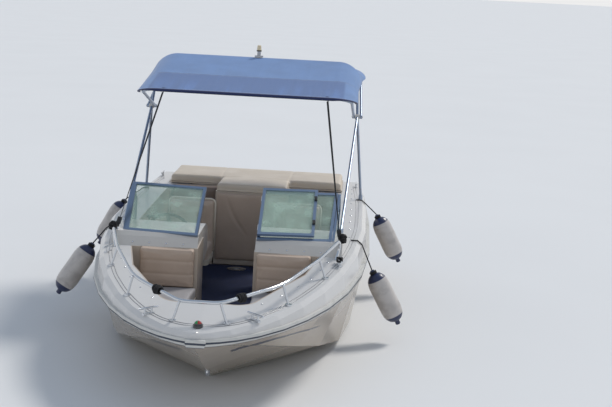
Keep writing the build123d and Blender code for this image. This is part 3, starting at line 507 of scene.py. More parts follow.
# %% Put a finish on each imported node
FINISHES = [
    (hull_gel_painted_shade, "hull"),
    (deck_gel, "deck swim_platform"),
    (liner_gel, "cockpit_liner aft_benches stringers engine_hood"),
    (console_gel, "console_port console_starboard"),
    (rail_vinyl, "rub_rail"),
    (navy_carpet, "carpet"),
    (tan_vinyl, "bow_backrests helm_seat_cushions passenger_seat_cushions "
                "aft_cushions aft_bolsters hood_panel"),
    (cream_vinyl, "sunpad"),
    (shade_grey_vinyl, "bow_cushions"),
    (seat_plastic, "helm_seat_shell passenger_seat_shell"),
    (stainless, "bow_rail stem_eye cleats table_socket strap_eyes hood_hinge door_hinges trim_rods"),
    (weathered_sky_tinted, "canopy_legs canopy_bow_front canopy_bow_main canopy_bow_rear"),
    (bronze_steel, "propeller"),
    (satin_alloy, "seat_pedestals"),
    (anodised, "windscreen_frames wing_frames door_frame"),
    (screen_glass, "windscreen_panes wing_panes door_pane"),
    (black_plastic, "door_latches throttle steering_column"),
    (grip_black, "steering_wheel"),
    (canvas_cloth, "canopy_canvas_front canopy_canvas_rear"),
    (black_webbing, "canopy_straps"),
    (white_nylon, "canopy_knuckles fenders"),
    (lamp_base, "canopy_light"),
    (lamp_glass, "canopy_light_lens"),
    (bow_light_lens, "bow_light"),
    (drive_enamel, "transom_bracket gimbal_ring drive_leg trim_barrels"),
    (engine_enamel, "engine"),
    (black_rope, "fender_ropes"),
]
dressed = set()
for material, names in FINISHES:
    for name in names.split():
        if not nodes[name].material_slots:
            nodes[name].data.materials.append(material)
        for slot in nodes[name].material_slots:
            slot.material = material
        dressed.add(name)
print("dressed", len(dressed), "left", sorted(set(nodes) - dressed))

# %% [markdown]
# ## Surfaces from arrays
#
# Every new piece is a grid of points worked out with numpy: a tube is a circle carried along a path, a turned
# piece is a profile carried round an axis. `surface` joins such grids into one mesh, merges the doubled points at
# seams and poles, and turns the faces outwards.

# %% Grids
def grid(points, wrap_rows=False, wrap_columns=False):
    """Faces (i,j) (i+1,j) (i+1,j+1) (i,j+1) over an m x n grid; u and v run from 0 to 1 over it."""
    m, n = points.shape[:2]
    i, j = np.meshgrid(np.arange(m - (not wrap_rows)), np.arange(n - (not wrap_columns)), indexing="ij")
    after_i, after_j = (i + 1) % m, (j + 1) % n
    faces = np.stack([i * n + j, after_i * n + j, after_i * n + after_j, i * n + after_j], axis=-1)
    v, u = np.meshgrid(np.linspace(0, 1, m), np.linspace(0, 1, n), indexing="ij")
    return points.reshape(-1, 3), faces.reshape(-1, 4), np.stack([u, v], axis=-1).reshape(-1, 2)

# %% Tubes and turned shapes
def square_to(axis, reference):
    """Two unit directions square to an axis: side = axis x reference, and side x axis."""
    side = np.cross(axis, reference)
    side /= np.linalg.norm(side)
    return side, np.cross(side, axis)


def swing(angle, side, third):
    """cos(angle) side + sin(angle) third, one row for each angle."""
    return np.cos(angle)[:, None] * side + np.sin(angle)[:, None] * third


def frames_along(path, reference):
    """Unit side and third direction at each point; side is tangent x reference."""
    tangent = np.gradient(path, axis=0)
    tangent /= np.linalg.norm(tangent, axis=1, keepdims=True)
    side = np.cross(tangent, np.asarray(reference, float))
    side /= np.linalg.norm(side, axis=1, keepdims=True)
    return side, np.cross(side, tangent)


def tube(path, radius, reference, sides=10):
    """Circle of the given radius carried along the path: P + r (cos a side + sin a third), with flat ends."""
    side, third = frames_along(path, reference)
    path, side, third = (np.vstack([a[:1], a, a[-1:]]) for a in (path, side, third))
    radii = np.full(len(path), radius)
    radii[[0, -1]] = 0.0
    angle = np.linspace(0, 2 * pi, sides, endpoint=False)
    around = side[:, None] * np.cos(angle)[None, :, None] + third[:, None] * np.sin(angle)[None, :, None]
    return grid(path[:, None] + radii[:, None, None] * around, wrap_columns=True)


def turned(profile, origin, axis, sides):
    """Profile of (radius, height) carried round an axis: origin + h axis + r (cos a p + sin a q)."""
    axis = np.asarray(axis, float) / np.linalg.norm(axis)
    p, back = square_to(axis, [1.0, 0, 0] if abs(axis[0]) < 0.8 else [0, 1.0, 0])
    profile = np.asarray(profile, float)
    around = swing(np.linspace(0, 2 * pi, sides, endpoint=False), p, -back)
    points = np.asarray(origin, float) + profile[:, None, 1:] * axis + profile[:, None, :1] * around[None]
    return grid(points, wrap_columns=True)

# %% Join grids into one surface
def merge(mesh, gap, outward=False):
    """Joins points closer than the gap and, if asked, turns the faces outwards."""
    work = bmesh.new()
    work.from_mesh(mesh)
    bmesh.ops.remove_doubles(work, verts=work.verts, dist=gap)
    if outward:
        bmesh.ops.recalc_face_normals(work, faces=work.faces)
    work.to_mesh(mesh)
    work.free()


def surface(name, parts, material, body, closed=True, smooth=True):
    """One object from several grids: arrays are stacked, doubles merged and, on closed shapes, faces turned out."""
    starts = np.cumsum([0] + [len(points) for points, _, _ in parts])
    corners, uvs = (np.vstack([part[i] for part in parts]) for i in (0, 2))
    faces = np.vstack([quads + start for (_, quads, _), start in zip(parts, starts)])
    mesh = bpy.data.meshes.new(name)
    mesh.from_pydata(corners.tolist(), [], faces.tolist())
    layer = mesh.uv_layers.new(name="UVMap")
    order = np.empty(len(mesh.loops), np.int32)
    mesh.loops.foreach_get("vertex_index", order)
    layer.data.foreach_set("uv", uvs[order].astype(np.float32).ravel())
    if closed:
        merge(mesh, 1e-6, outward=True)
    mesh.polygons.foreach_set("use_smooth", np.full(len(mesh.polygons), smooth))
    mesh.materials.append(material)
    made = placed(name, mesh)
    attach(made, body)
    print(name, len(mesh.polygons), "faces")
    return made

# %% [markdown]
# ## Canopy cloth
#
# The bimini is acrylic cloth pulled taut over three steel bows that hinge on one knuckle each side. Between two
# bows it is nearly a ruled surface, so the sheet is straight lines from bow to bow, with a slight hollow in the
# middle of each span and shallow pulls that run fore and aft. At the outer bows it turns under into a sewn pocket.

# %% Work out the bow lines
KNUCKLE = np.array([0.0, 1.0, 1.70])
TOPS = {"front": (0.08, 1.945), "main": (1.25, 2.17), "rear": (1.90, 2.085)}
TUBE, CLOTH, CORNER = 0.0127, 0.0016, 0.200
OFF_AXIS = TUBE + CLOTH / 2
ACROSS = np.array([1.0, 0, 0])
HALVES = {"front": 0.9313, "main": 0.9643, "rear": 0.9993}
RUN = {name: np.array([0.0, y, z]) - KNUCKLE for name, (y, z) in TOPS.items()}
LENGTH = {name: float(np.linalg.norm(run)) for name, run in RUN.items()}


def bow_normal(name):
    """Direction square to a bow's plane, towards the bow."""
    return np.cross(ACROSS, RUN[name] / LENGTH[name])


def bow_rise(name, neighbours):
    """How far the cloth stands off the bow in its plane: its distance from the axis over the cosine of the slant."""
    chords = [RUN[n] - RUN[name] for n in neighbours]
    return OFF_AXIS / min(abs(bow_normal(name) @ (c / np.linalg.norm(c))) for c in chords)


NEIGHBOURS = {"front": ["main"], "main": ["front", "rear"], "rear": ["main"]}
RISE = {name: bow_rise(name, others) for name, others in NEIGHBOURS.items()}


def arch(name, t):
    """Point on a bow's arch for t from 0 to 1: a rounded rectangle's upper part, by arc length; and its normal."""
    round_r = CORNER + RISE[name]
    flat, bend = HALVES[name] - CORNER, round_r * pi / 2
    s = (t - 0.5) * 2 * (flat + bend + 0.006)
    size, sign = np.abs(s), np.where(s < 0, -1.0, 1.0)
    angle = np.clip((size - flat) / round_r, 0.0, pi / 2)
    x = np.minimum(size, flat) + round_r * np.sin(angle)
    down = round_r * (1 - np.cos(angle)) + np.maximum(size - flat - bend, 0.0)
    direction = RUN[name] / LENGTH[name]
    height = (LENGTH[name] + RISE[name] - down)[:, None] * direction
    point = KNUCKLE + height + (sign * x)[:, None] * ACROSS
    normal = (sign * np.sin(angle))[:, None] * ACROSS + np.cos(angle)[:, None] * direction
    return point, normal


print("cloth stands off the bows by", {name: round(rise * 1000, 1) for name, rise in RISE.items()}, "mm")

# %% The shape of a panel
def canopy_panel(first, last, columns=181, rows=61, pocket=14):
    """Rows 0 to pocket turn round the outer bow; the rest is (1-v) outer + v main, less a hollow and pulls."""
    t = np.linspace(0, 1, columns)
    edge, normal = arch(first, t)
    far, _ = arch(last, t)
    v = np.linspace(0, 1, rows)[:, None, None]
    span = (1 - v) * edge[None] + v * far[None]
    chord = far - edge
    chord /= np.linalg.norm(chord, axis=1, keepdims=True)
    outward = normal - (normal * chord).sum(1, keepdims=True) * chord
    outward /= np.linalg.norm(outward, axis=1, keepdims=True)
    belly = 4 * v * (1 - v)
    across = t[None, :, None]
    hollow = 0.010 * belly * (0.35 + 0.65 * np.sin(pi * across))
    pulls = 0.0022 * np.sin(58 * across + 2.0 * v) + 0.0016 * np.sin(97 * across - 3.5 * v + 1.0)
    pulls = pulls + 0.0028 * np.sin(24 * across + 5 * v) * np.abs(2 * across - 1) ** 2
    span = span - outward[None] * (hollow + belly * np.abs(pulls))
    centre = edge - outward * OFF_AXIS
    turn = np.linspace(radians(215), 0, pocket, endpoint=False)[:, None, None]
    wrap = centre[None] + (TUBE + 0.0010) * (np.cos(turn) * outward[None] - np.sin(turn) * chord[None])
    return np.concatenate([wrap, span], axis=0)

# %% Make the two cloth panels
def flat_size(points):
    """Width, length and area of a grid, from the lengths of its rows and columns and the size of its cells."""
    width = np.linalg.norm(np.diff(points, axis=1), axis=2).sum(1).mean()
    length = np.linalg.norm(np.diff(points, axis=0), axis=2).sum(0).mean()
    a, b = points[1:, :-1] - points[:-1, :-1], points[:-1, 1:] - points[:-1, :-1]
    return width, length, np.linalg.norm(np.cross(a, b), axis=2).sum()


def canopy_piece(first):
    """One panel with u and v in metres of cloth, made thick, in place of the imported canvas panel."""
    name, body = f"canopy_cloth_{first}", f"canopy_{first}"
    points = canopy_panel(first, "main")
    width, length, area = flat_size(points)
    corners, faces, _ = grid(points)
    across = np.cumsum(np.linalg.norm(np.diff(points, axis=1, prepend=points[:, :1]), axis=2), axis=1)
    along = np.cumsum(np.linalg.norm(np.diff(points, axis=0, prepend=points[:1]), axis=2).mean(1))
    across = across - across[:, -1:] / 2
    uv = np.stack([across, np.broadcast_to(along[:, None], across.shape)], axis=-1).reshape(-1, 2)
    if first == "rear":
        faces = faces[:, ::-1]
    piece = surface(name, [(corners, faces, uv)], canvas_cloth, "boat", closed=False)
    cloth = piece.modifiers.new("cloth", "SOLIDIFY")
    cloth.thickness, cloth.offset = CLOTH, 1.0
    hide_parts(f"canopy_canvas_{first}")
    piece.parent = None
    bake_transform(piece)
    print(name, "flat", round(width, 3), "x", round(length, 3), "area", round(area, 3))


canopy_piece("front")
canopy_piece("rear")

# %% [markdown]
# ## Hold-down straps
#
# Two webbing straps pull the front bow down to eyes beside the windscreen. A strap is a thin flat band that turns a
# little on its way; it ends in a loop round the bow and in a black buckle near the eye. When the canopy folds the
# real strap is unhooked and stowed at its eye.

# %% The shapes of a strap and of a buckle
STRAP_LOW, STRAP_HIGH = np.array([0.882, -0.855, 0.932]), np.array([0.700, 0.08, 1.945])
HALF_WIDE, HALF_THIN = 0.0125, 0.0009


def strap_parts(sign):
    """A flat band along the line that turns by 30 degrees over its length, and its loop round the bow."""
    flip = np.array([sign, 1.0, 1.0])
    low, high = STRAP_LOW * flip, STRAP_HIGH * flip
    run = (high - low) / np.linalg.norm(high - low)
    stop = high - run * 0.030
    s = np.linspace(0, 1, 60)[:, None]
    path = low + (stop - low) * s
    turn = radians(48) + radians(30) * (1 - s) ** 2
    side, third = square_to(run, [0, 1.0, 0])
    wide = np.cos(turn) * side + np.sin(turn) * third
    thin = -np.sin(turn) * side + np.cos(turn) * third
    section = [(a * HALF_WIDE, b * HALF_THIN) for a, b in ((-1, -1), (1, -1), (1, 1), (-1, 1))]
    band = np.stack([path + a * wide + b * thin for a, b in section], axis=1)
    middle = band.mean(1, keepdims=True)
    band = np.concatenate([middle[:1] + 0 * band[:1], band, middle[-1:] + 0 * band[-1:]])
    ring = high + 0.0150 * swing(np.linspace(0, 2 * pi, 24, endpoint=False), run, np.cross(ACROSS, run))
    outer = np.stack([ring + a * ACROSS for a in (-HALF_WIDE, HALF_WIDE)], axis=1)
    inner = high + (outer - high) * 0.93
    loop = grid(np.concatenate([outer, inner[:, ::-1]], axis=1), wrap_rows=True, wrap_columns=True)
    return [grid(band, wrap_columns=True), loop], low, run


def box_grid(centre, u, v, w, half):
    """A rounded box: a sphere's grid pushed out to half sizes with a superellipse power."""
    a, b = np.meshgrid(np.linspace(-pi / 2, pi / 2, 17), np.linspace(0, 2 * pi, 32, endpoint=False), indexing="ij")
    rows = np.cos(a), np.sin(a), np.cos(b), np.sin(b)
    cos_a, sin_a, cos_b, sin_b = (np.sign(c) * np.abs(c) ** 0.18 for c in rows)
    x, y, z = cos_a * cos_b, cos_a * sin_b, sin_a
    axes = [np.asarray(d, float) * h for d, h in zip((u, v, w), half)]
    points = np.asarray(centre, float) + x[..., None] * axes[0] + y[..., None] * axes[1] + z[..., None] * axes[2]
    return grid(points, wrap_columns=True)

# %% Make the straps and their buckles
buckles = []
for sign, side_name in ((1.0, "port"), (-1.0, "starboard")):
    parts, low, run = strap_parts(sign)
    strap = surface(f"strap_{side_name}", parts, black_webbing, "boat", smooth=False)
    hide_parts("canopy_straps")
    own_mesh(strap)
    side, third = square_to(run, [0, 1.0, 0])
    for up, half in ((0.055, (0.009, 0.017, 0.030)), (0.014, (0.005, 0.013, 0.014))):
        buckles.append(box_grid(low + run * up, third, side, run, half))
surface("strap_buckles", buckles, black_plastic, "boat")

# %% [markdown]
# ## Padded upholstery
#
# The real cushions are foam under sewn vinyl, full in the middle and drawn in at their seams. Each one here starts
# as a copy of its plain solid, a little smaller. It is remeshed to even quads and blown up as cloth under pressure,
# which swells a shape of any outline without a formula of its own. Left alone the cloth moves by 7 cm and more, far
# beyond real foam under vinyl, so each point's move is capped at 10 mm, and the share of the free points that reach
# the cap is printed. What rests on a shell or a bench is held flat. Sewn channels are pressed in after that.

# %% Copy, bake, read and write a pad's mesh
def plain_copy(name, node, voxel):
    """A merged copy of a node's mesh, remeshed to quads of one size."""
    mesh = nodes[node].data.copy()
    merge(mesh, 1e-5)
    made = placed(name, mesh)
    remesh = made.modifiers.new("even", "REMESH")
    remesh.mode, remesh.voxel_size = "VOXEL", voxel
    return bake_shape(made)


def bake_shape(made):
    """Puts what the modifiers give into the object's own mesh."""
    graph = bpy.context.evaluated_depsgraph_get()
    graph.update()
    mesh = bpy.data.meshes.new_from_object(made.evaluated_get(graph))
    made.modifiers.clear()
    made.data = mesh
    return made


def read(rows, what="co"):
    """An array of the mesh's points, or of its vertex normals."""
    out = np.empty(len(rows) * 3, np.float32)
    rows.foreach_get(what, out)
    return out.reshape(-1, 3).astype(float)


def write(mesh, points):
    """Puts an array of points into the mesh."""
    mesh.vertices.foreach_set("co", points.astype(np.float32).ravel())
    mesh.update()

# %% The padding helper
SHRINK, CAP = 0.005, 0.010


def padded(name, node, body, material, held, creases, voxel, top=None):
    """Cloth under pressure from a shrunken start; held lists the directions in which the pad rests on something.

    A point is held as far as (normal . direction) goes from 0.55 to 0.8; final = start + capped move x (1 - held).
    top scales the heights so that the pad ends there."""
    piece = plain_copy(name, node, voxel)
    mesh = piece.data
    if top is not None:
        spots = read(mesh.vertices)
        base, crest = spots[:, 2].min(), spots[:, 2].max()
        spots[:, 2] = base + (spots[:, 2] - base) * (top - base) / (crest - base)
        write(mesh, spots)
    rest, normals = read(mesh.vertices), read(mesh.vertex_normals, "vector")
    fixed = np.zeros(len(rest))
    for direction in held:
        fixed = np.maximum(fixed, np.clip((normals @ np.array(direction, float) - 0.55) / 0.25, 0, 1))
    free = (1 - fixed)[:, None]
    start = rest - SHRINK * normals * free
    write(mesh, start)
    cloth = piece.modifiers.new("swell", "CLOTH")
    cloth.settings.use_pressure = True
    cloth.settings.uniform_pressure_force = 4.0
    cloth.settings.effector_weights.gravity = 0.0
    for number in range(1, 21):
        scene.frame_set(number)
    bake_shape(piece)
    scene.frame_set(1)
    mesh = piece.data
    move = read(mesh.vertices) - start
    size = np.linalg.norm(move, axis=1, keepdims=True)
    move = move * np.minimum(1.0, CAP / np.maximum(size, 1e-9))
    final = start + move * free
    final = final - normals * (creases(rest) * (1 - fixed))[:, None]
    mesh.polygons.foreach_set("use_smooth", np.ones(len(mesh.polygons), bool))
    mesh.materials.clear()
    mesh.materials.append(material)
    write(mesh, final)
    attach(piece, body)
    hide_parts(node)
    modifier = piece.modifiers.new("round", "SUBSURF")
    modifier.levels = modifier.render_levels = 1
    capped = float((size[fixed < 1] >= CAP).mean())
    print(name, len(mesh.polygons), "faces, largest move", round(float(size.max()) * 1000, 1), "mm, capped",
          round(capped, 3))

# %% Sewn channels
def groove(distance, depth, width=0.010):
    """Depth of a sewn channel: depth x exp(-(distance / width)^2)."""
    return depth * np.exp(-((distance / width) ** 2))


def channels(*lines):
    """Straight channels; each is an axis, where 0 stands for |x|, a place on it and a depth."""
    def press(p):
        spots = np.column_stack([np.abs(p[:, 0]), p[:, 1:]])
        return sum(groove(spots[:, axis] - place, depth) for axis, place, depth in lines)
    return press

# %% [markdown]
# ### Bow seats
#
# The bow has a bench on each side with a cushion, coloured grey as painted shade, and a tan backrest on each console
# front. The backrest is sewn in three level panels, so two channels cross it, and it ends at 0.820 m, below the
# ledge's pale front.

# %% Blow up the bow seats
DOWN, AFT = (0, 0, -1), (0, 1, 0)
padded("bow_back_pads", "bow_backrests", "boat", tan_vinyl, [DOWN, AFT],
       channels((2, 0.610, 0.0045), (2, 0.715, 0.0045)), 0.011, top=0.820)
padded("bow_seat_pads", "bow_cushions", "boat", shade_grey_vinyl, [DOWN],
       channels((1, -1.40, 0.004), (1, -1.72, 0.003)), 0.013)

# %% [markdown]
# ### Helm and passenger seats
#
# A bucket seat has a thick squab and a back pad set in a moulded shell. Two channels run up each pad and set off
# a middle panel, and a cream piping closes the joint between pad and shell.

# %% Blow up the bucket seats
SEAT_X, SEAT_Y = 0.48, 0.29


def seat_channels(side):
    """Two channels beside the middle panel, one across the front of the squab and one near the back's top."""
    def press(p):
        x = np.abs(p[:, 0] - side * SEAT_X)
        squab = (p[:, 1] < SEAT_Y + 0.13) * (p[:, 2] < 0.60)
        lanes = groove(x - 0.115, 0.005)
        cross = groove(p[:, 1] - (SEAT_Y - 0.12), 0.004) * squab
        top = groove(p[:, 2] - 0.84, 0.004) * (1 - squab) * (x < 0.115)
        return lanes + cross + top
    return press


SEATS = ((-1, "helm"), (1, "passenger"))
for side, name in SEATS:
    padded(f"{name}_pads", f"{name}_seat_cushions", f"{name}_seat", tan_vinyl, [DOWN, AFT],
           seat_channels(side), 0.011)

# %% Lay the piping round the back pads
def rounded_path(corners, reach, steps=8):
    """A path past corner points: each corner is a quadratic curve between the points at a reach before and after."""
    corners = np.asarray(corners, float)
    out = [corners[:1]]
    for before, here, after in zip(corners[:-2], corners[1:-1], corners[2:]):
        a, b = (here + (p - here) / np.linalg.norm(p - here) * reach for p in (before, after))
        s = np.linspace(0, 1, steps)[:, None]
        out.append((1 - s) ** 2 * a + 2 * s * (1 - s) * here + s**2 * b)
    return np.vstack(out + [corners[-1:]])


PIPING_HALF, PIPING_LOW, PIPING_HIGH = 0.209, 0.47, 0.939
for side, name in SEATS:
    left, right_x, y = side * SEAT_X - PIPING_HALF, side * SEAT_X + PIPING_HALF, SEAT_Y + 0.206
    route = [(left, y, PIPING_LOW), (left, y, PIPING_HIGH), (right_x, y, PIPING_HIGH), (right_x, y, PIPING_LOW)]
    piping = tube(rounded_path(route, 0.05), 0.0070, (0, 1, 0))
    surface(f"{name}_piping", [piping], piping_vinyl, f"{name}_seat")

# %% [markdown]
# ### Aft seats, sunpad and the engine box front
#
# Beside the engine box are two jump seats with bolsters. The sunpad is one T-shaped cushion over the hood, sewn
# where its neck meets the wide part. The padded front of the engine box has one slanted dart.

# %% Blow up the aft upholstery
def sunpad_seams(p):
    """Seams beside the neck, one across behind it, and one on the middle line of the wide part."""
    neck_half, neck_end = 0.345, 1.50
    wide = p[:, 1] > neck_end
    lanes = groove(np.abs(p[:, 0]) - neck_half, 0.005) * wide
    cross = groove(p[:, 1] - neck_end, 0.005) * (np.abs(p[:, 0]) < neck_half)
    return lanes + cross + groove(p[:, 1] - 1.83, 0.003) * wide


padded("aft_seat_pads", "aft_cushions", "boat", tan_vinyl, [DOWN, AFT],
       channels((0, 0.59, 0.004)), 0.011)
padded("aft_bolster_pads", "aft_bolsters", "boat", tan_vinyl_in_shade, [DOWN, AFT],
       channels((2, 0.74, 0.005), (0, 0.59, 0.0035)), 0.011)
padded("sunpad_cushion", "sunpad", "engine_hood", cream_vinyl, [DOWN], sunpad_seams, 0.014)

# %% Make the engine box's padded front
PANEL_LOW, PANEL_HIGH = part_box("hood_panel")


def front_panel(count=90):
    """Front y = back - (depth + slow waves - dart) plump, with plump^2 = (1-|a|^12)(1-|b|^12); the back is flat."""
    a, b = np.meshgrid(np.linspace(-1, 1, count), np.linspace(-1, 1, count), indexing="ij")
    centre, half = (PANEL_LOW + PANEL_HIGH) / 2, (PANEL_HIGH - PANEL_LOW) / 2
    x, z = centre.x + half.x * a, centre.z + half.z * b
    plump = ((1 - np.abs(a) ** 12) * (1 - np.abs(b) ** 12)) ** 0.5
    fall = np.clip((PANEL_HIGH.z - z) / 0.40, 0, 1)
    fade = 1 - np.clip((PANEL_HIGH.z - z - 0.30) / 0.12, 0, 1)
    press = groove(x + 0.235 - 0.20 * fall**1.6, 0.005, 0.020) * fade
    soft = 0.0018 * np.sin(5 * a + 2 + b) * np.sin(4 * b)
    y = PANEL_HIGH.y - 0.002 - (0.016 + soft - press) * plump
    front = np.stack([x, y, z], axis=-1)
    back = np.stack([x, np.full_like(y, PANEL_HIGH.y - 0.0005), z], axis=-1)
    rims = [np.concatenate([f[:, 0], f[-1, :], f[::-1, -1], f[0, ::-1]]) for f in (front, back)]
    return [grid(front), grid(back[:, ::-1]), grid(np.stack(rims))]


panel = surface("engine_box_pad", front_panel(), tan_vinyl, "engine_hood")
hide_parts("hood_panel")

# %% [markdown]
# ## Fenders
#
# A fender is an inflated vinyl cylinder with a thick domed cap and an eye at each end. It is a turned shape, so
# one profile carried round the axis makes it, and the caps get their navy from the piece's own v.

# %% The fender's profile and vinyl
FENDER_SLIM = 0.93
FENDER_LENGTH = 0.51


def fender_profile():
    """(radius, height): an eye, a ribbed cone, a dome, a straight wall and the same mirrored; pinched at the seams.

    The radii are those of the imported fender, and they are made slimmer by one share."""
    eye = [(0.0, 0.0), (0.016, 0.001), (0.021, 0.005), (0.023, 0.014), (0.021, 0.022), (0.0225, 0.030)]
    cone = [(0.025, 0.034), (0.036, 0.038), (0.050, 0.045), (0.062, 0.055), (0.0725, 0.068), (0.081, 0.082)]
    dome = [(0.087, 0.097), (0.0905, 0.110), (0.0915, 0.119), (0.0900, 0.1215), (0.0918, 0.124), (0.0940, 0.135)]
    half = np.array(eye + cone + dome + [(0.0948, 0.150)])
    middle = np.array([[0.095, 0.20], [0.0945, 0.255], [0.095, 0.31]])
    return np.vstack([half, middle, (half * (1, -1) + (0, FENDER_LENGTH))[::-1]]) * (FENDER_SLIM, 1.0)


def fender_vinyl():
    """White wall and navy caps by the share along the axis, with scuffs and a stretched grime noise."""
    f = Finish("fender_vinyl")
    share = abs(f.sheet_uv()[1] - 0.5) * 2.0
    cap = share.step(0.42, 0.44)
    grime = f.noise(11.0, 6.0).step(0.42, 0.75)
    white = f.mix(grime * 0.55, (0.50, 0.47, 0.45), (0.27, 0.25, 0.24))
    navy = f.mix(grime * 0.4, (0.016, 0.024, 0.075), (0.05, 0.06, 0.10))
    tint = f.mix(cap, white, navy)
    relief = f.cells(420.0) * 0.0001 + grime * 0.0003
    return f.finish(relief, Base_Color=tint, Roughness=grime * 0.25 + 0.30, Coat_Weight=0.1)

# %% Turn the fenders and tie their hitches
FENDERS = [  # upper end, lower end
    ((-1.172, -0.42, 0.680), (-1.420, -0.52, 0.285)),
    ((-1.225, 1.15, 0.760), (-1.440, 1.12, 0.360)),
    ((1.158, -0.45, 0.600), (1.400, -0.45, 0.165)),
    ((1.205, 1.15, 0.755), (1.450, 1.15, 0.300)),
]
COIL_R, COIL_PITCH = 0.0262, 0.0085
shapes, knots = [], []
for top, low in FENDERS:
    top, low = np.array(top), np.array(low)
    axis = (low - top) / np.linalg.norm(low - top)
    shapes.append(turned(fender_profile(), top, axis, 40))
    turns = np.linspace(0, 2 * pi * 3, 70)
    side, back = square_to(axis, [0, 1.0, 0])
    coil = top + axis * 0.012 + COIL_R * swing(turns, side, -back)
    coil = coil + axis * (turns / (2 * pi) * COIL_PITCH)[:, None]
    knots.append(tube(coil, 0.0045, axis, 8))
fender_piece = surface("inflated_fenders", shapes, fender_vinyl(), "boat")
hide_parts("fenders")
surface("fender_hitches", knots, black_rope, "boat")

# %% [markdown]
# ## Lashings on the rail and the cleat
#
# Black line is wound round the rail at four places and hitched on the port midship cleat. A winding is a helix
# round the tube with slightly uneven turns, and the hitch on the cleat is a figure of eight.

# %% Wind the lashings
def winding(centre, along, inner, turns, phase):
    """Helix of radius inner + rope around a straight bar; each turn wanders a little by two sines."""
    along = np.asarray(along, float) / np.linalg.norm(along)
    rope_r = 0.0055
    a = np.linspace(0, 2 * pi * turns, 22 * turns)
    reach = inner + rope_r * (1.0 + 0.5 * (1 + np.sin(a * 0.37 + phase)))
    shift = (a / (2 * pi * turns) - 0.5) * turns * rope_r * 1.7 + 0.003 * np.sin(a * 0.21 + phase * 2)
    around = reach[:, None] * swing(a, *square_to(along, [0, 0, 1.0]))
    return np.asarray(centre, float) + around + shift[:, None] * along


LASHINGS = [
    ((-0.312, -2.224, 0.816), (-0.716, 0.697, 0.095)),
    ((0.262, -2.273, 0.809), (0.716, 0.697, 0.095)),
    ((-0.905, -0.905, 0.950), (0.12, 0.6, 0.8)),
    ((0.905, -0.905, 0.950), (-0.12, 0.6, 0.8)),
]
LASHING_R = 0.0052
wound = []
for shift, tilt, inner, turns, phase in (((0, 0, 0), 1, TUBE, 7, 0), ((0, 0.004, -0.004), -1, 0.0185, 4, 5)):
    for i, (centre, along) in enumerate(LASHINGS):
        x, y, z = along
        path = winding(np.array(centre) + shift, (x, y, tilt * z), inner, turns, phase + i)
        wound.append(tube(path, LASHING_R, along, 8))
a = np.linspace(0, 2 * pi * 3, 150)
cleat = np.array([0.892, -1.130, 0.832])
eight = cleat + np.stack([0.021 * np.sin(2 * a), 0.052 * np.sin(a), 0.008 * np.cos(2 * a) + 0.002 * a / pi], axis=-1)
wound.append(tube(eight, LASHING_R, (0, 0, 1), 8))
surface("rail_lashings", wound, black_rope, "boat")

# %% [markdown]
# ## Small hardware
#
# Press studs for the covers follow the consoles, the well and the side decks, and the helm has four gauges. Each
# stud is a low dome of a few dozen faces, dropped on the moulding with a ray from above so that none floats.

# %% Drop the studs on the mouldings
def ray_tree(name):
    """A node's faces, ready for rays."""
    mesh = nodes[name].data
    return BVHTree.FromPolygons([v.co for v in mesh.vertices], [p.vertices for p in mesh.polygons])


mouldings = [ray_tree(name) for name in ("deck", "console_port", "console_starboard")]


def drop(x, y):
    """Highest hit straight below a point and the surface's direction there, or None."""
    hits = [tree.ray_cast(Vector((x, y, 1.4)), Vector((0, 0, -1))) for tree in mouldings]
    hits = [(h[0], h[1]) for h in hits if h[0] is not None]
    return max(hits, key=lambda h: h[0].z) if hits else None


STUD = [(0.0, 0.0042), (0.0035, 0.0038), (0.0065, 0.0025), (0.0078, 0.0), (0.0, -0.001)]
LEDGE = [(x, -0.938) for x in (0.34, 0.475, 0.61, 0.74)]
WELL = [(0.80, -1.08), (0.755, -1.28), (0.69, -1.47), (0.61, -1.66), (0.50, -1.85), (0.38, -2.02)]
SIDE_DECK = [(0.955, y) for y in np.linspace(-0.35, 1.75, 9)]
spots = [(s * x, y) for row in (LEDGE, WELL, SIDE_DECK) for s in (1, -1) for x, y in row]
studs = []
for x, y in spots:
    hit = drop(x, y)
    if hit is not None and hit[0].z > 0.6:
        studs.append(turned(STUD, tuple(hit[0]), tuple(hit[1] if hit[1].z > 0 else -hit[1]), 12))
surface("press_studs", studs, stainless, "boat")

# %% [markdown]
# The deck's outer band is set off by two fine moulded lines. They run where the shoulder turns level, so rays that
# march inwards over the deck find that place, and the lines are thin strips half sunk in it.

# %% Lay the moulded lines on the deck
def march(origin, toward, insets):
    """Walks in from outside until the surface is level, then returns the hits at the given distances inside."""
    for reach in np.arange(1.30, 0.20, -0.004):
        hit = drop(*(origin + reach * toward))
        if hit is not None and abs(hit[1].z) > 0.975 and hit[0].z > 0.55:
            hits = [drop(*(origin + (reach - inset) * toward)) for inset in insets]
            return [None if h is None else tuple(h[0]) for h in hits]
    return [None] * len(insets)


INSETS = (0.034, 0.058)
rays = [((0.0, y), (-1.0, 0.0)) for y in np.arange(1.90, -1.45, -0.07)]
rays += [((0.0, -1.50), (sin(b), -cos(b))) for b in np.radians(np.linspace(-89, 89, 80))]
rays += [((0.0, y), (1.0, 0.0)) for y in np.arange(-1.45, 1.93, 0.07)]
rows = [march(np.array(origin), np.array(toward), INSETS) for origin, toward in rays]
lines = []
for column in range(len(INSETS)):
    path = np.array([row[column] for row in rows if row[column] is not None])
    padded_path = np.pad(path, ((3, 3), (0, 0)), mode="edge")
    smooth = np.stack([np.convolve(row, np.ones(7) / 7, mode="valid") for row in padded_path.T], axis=1)
    smooth[:, 2] += 0.0004
    lines.append(tube(smooth, 0.0026, (0, 0, 1), 6))
# The lines are moulded in the white gelcoat; their dark grey is painted shade in the creases.
line_gel_painted_shade = gelcoat("line_gelcoat_painted_shade", (0.26, 0.26, 0.27))
surface("deck_band_lines", lines, line_gel_painted_shade, "boat")

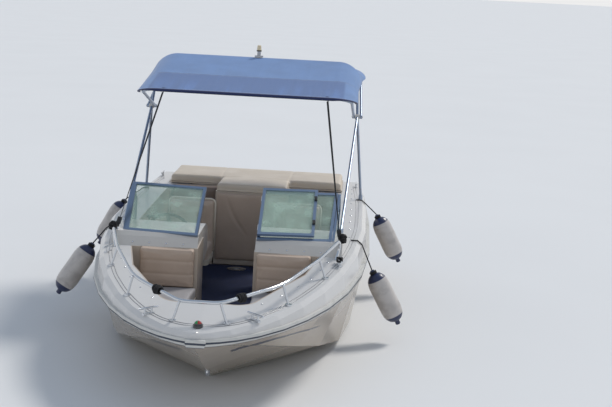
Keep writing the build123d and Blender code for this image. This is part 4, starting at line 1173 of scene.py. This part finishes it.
# %% Make the gauges
GAUGE_AXIS = (0.0, 0.954, 0.298)
GAUGE_X, GAUGE_Y, GAUGE_Z = (-0.72, -0.63, -0.49, -0.40), -0.3666, 0.835
RIM = [(0.0, -0.004), (0.034, -0.004), (0.036, 0.003), (0.034, 0.0065), (0.030, 0.0055), (0.0285, 0.003)]
RIM.append((0.0, 0.003))
FACE = [(0.0, 0.0041), (0.010, 0.0041), (0.019, 0.0041), (0.0285, 0.0036), (0.0285, 0.0026), (0.0, 0.0026)]
for name, profile, material in (("gauge_rims", RIM, black_plastic), ("gauge_faces", FACE, dial_face)):
    gauges = [turned(profile, (x, GAUGE_Y, GAUGE_Z), GAUGE_AXIS, 28) for x in GAUGE_X]
    surface(name, gauges, material, "boat")

# %% [markdown]
# ## Floor and light
#
# The floor is a pale plane at the waterline, so the boat sits in it as deep as it floats. A broad sun comes from
# astern and to port, which was judged, and a sky that is white at the horizon and greyer overhead fills the
# shade and gives the metal something to mirror.

# %% Lay the floor
FAR = 900
f = Finish("studio_floor")
pale = f.mix(f.noise(0.4, 2.0), (0.70, 0.71, 0.72), (0.74, 0.75, 0.76))
ground = bpy.data.meshes.new("studio_floor")
ground.from_pydata([(-FAR, -FAR, 0), (FAR, -FAR, 0), (FAR, FAR, 0), (-FAR, FAR, 0)], [], [(0, 1, 2, 3)])
ground.materials.append(f.finish(Base_Color=pale, Roughness=0.9))
floor = placed("studio_floor", ground)
print("floor", 2 * FAR, "m wide")

# %% Light the studio
world = bpy.data.worlds.new("studio_sky")
world.use_nodes = True
scene.world = world
sky = Nodes(world.node_tree)
height = sky.split(sky.node("ShaderNodeTexCoord", out="Generated"))[2]
shade = sky.mix(height.step(0.02, 0.75), (1.0, 1.0, 1.0), (0.42, 0.50, 0.62))
background = world.node_tree.nodes["Background"]
sky.join(background.inputs["Color"], shade)
background.inputs["Strength"].default_value = 0.85

sun = bpy.data.lights.new("broad_sun", "SUN")
sun.energy, sun.angle = 2.0, radians(14)
sun.color = (1.0, 0.95, 0.88)
sun_object = placed("broad_sun", sun)
travel = Vector((-0.50, -0.55, -0.85)).normalized()
sun_object.matrix_world = travel.to_track_quat("-Z", "Y").to_matrix().to_4x4()
print("sun travels", tuple(round(v, 2) for v in travel))
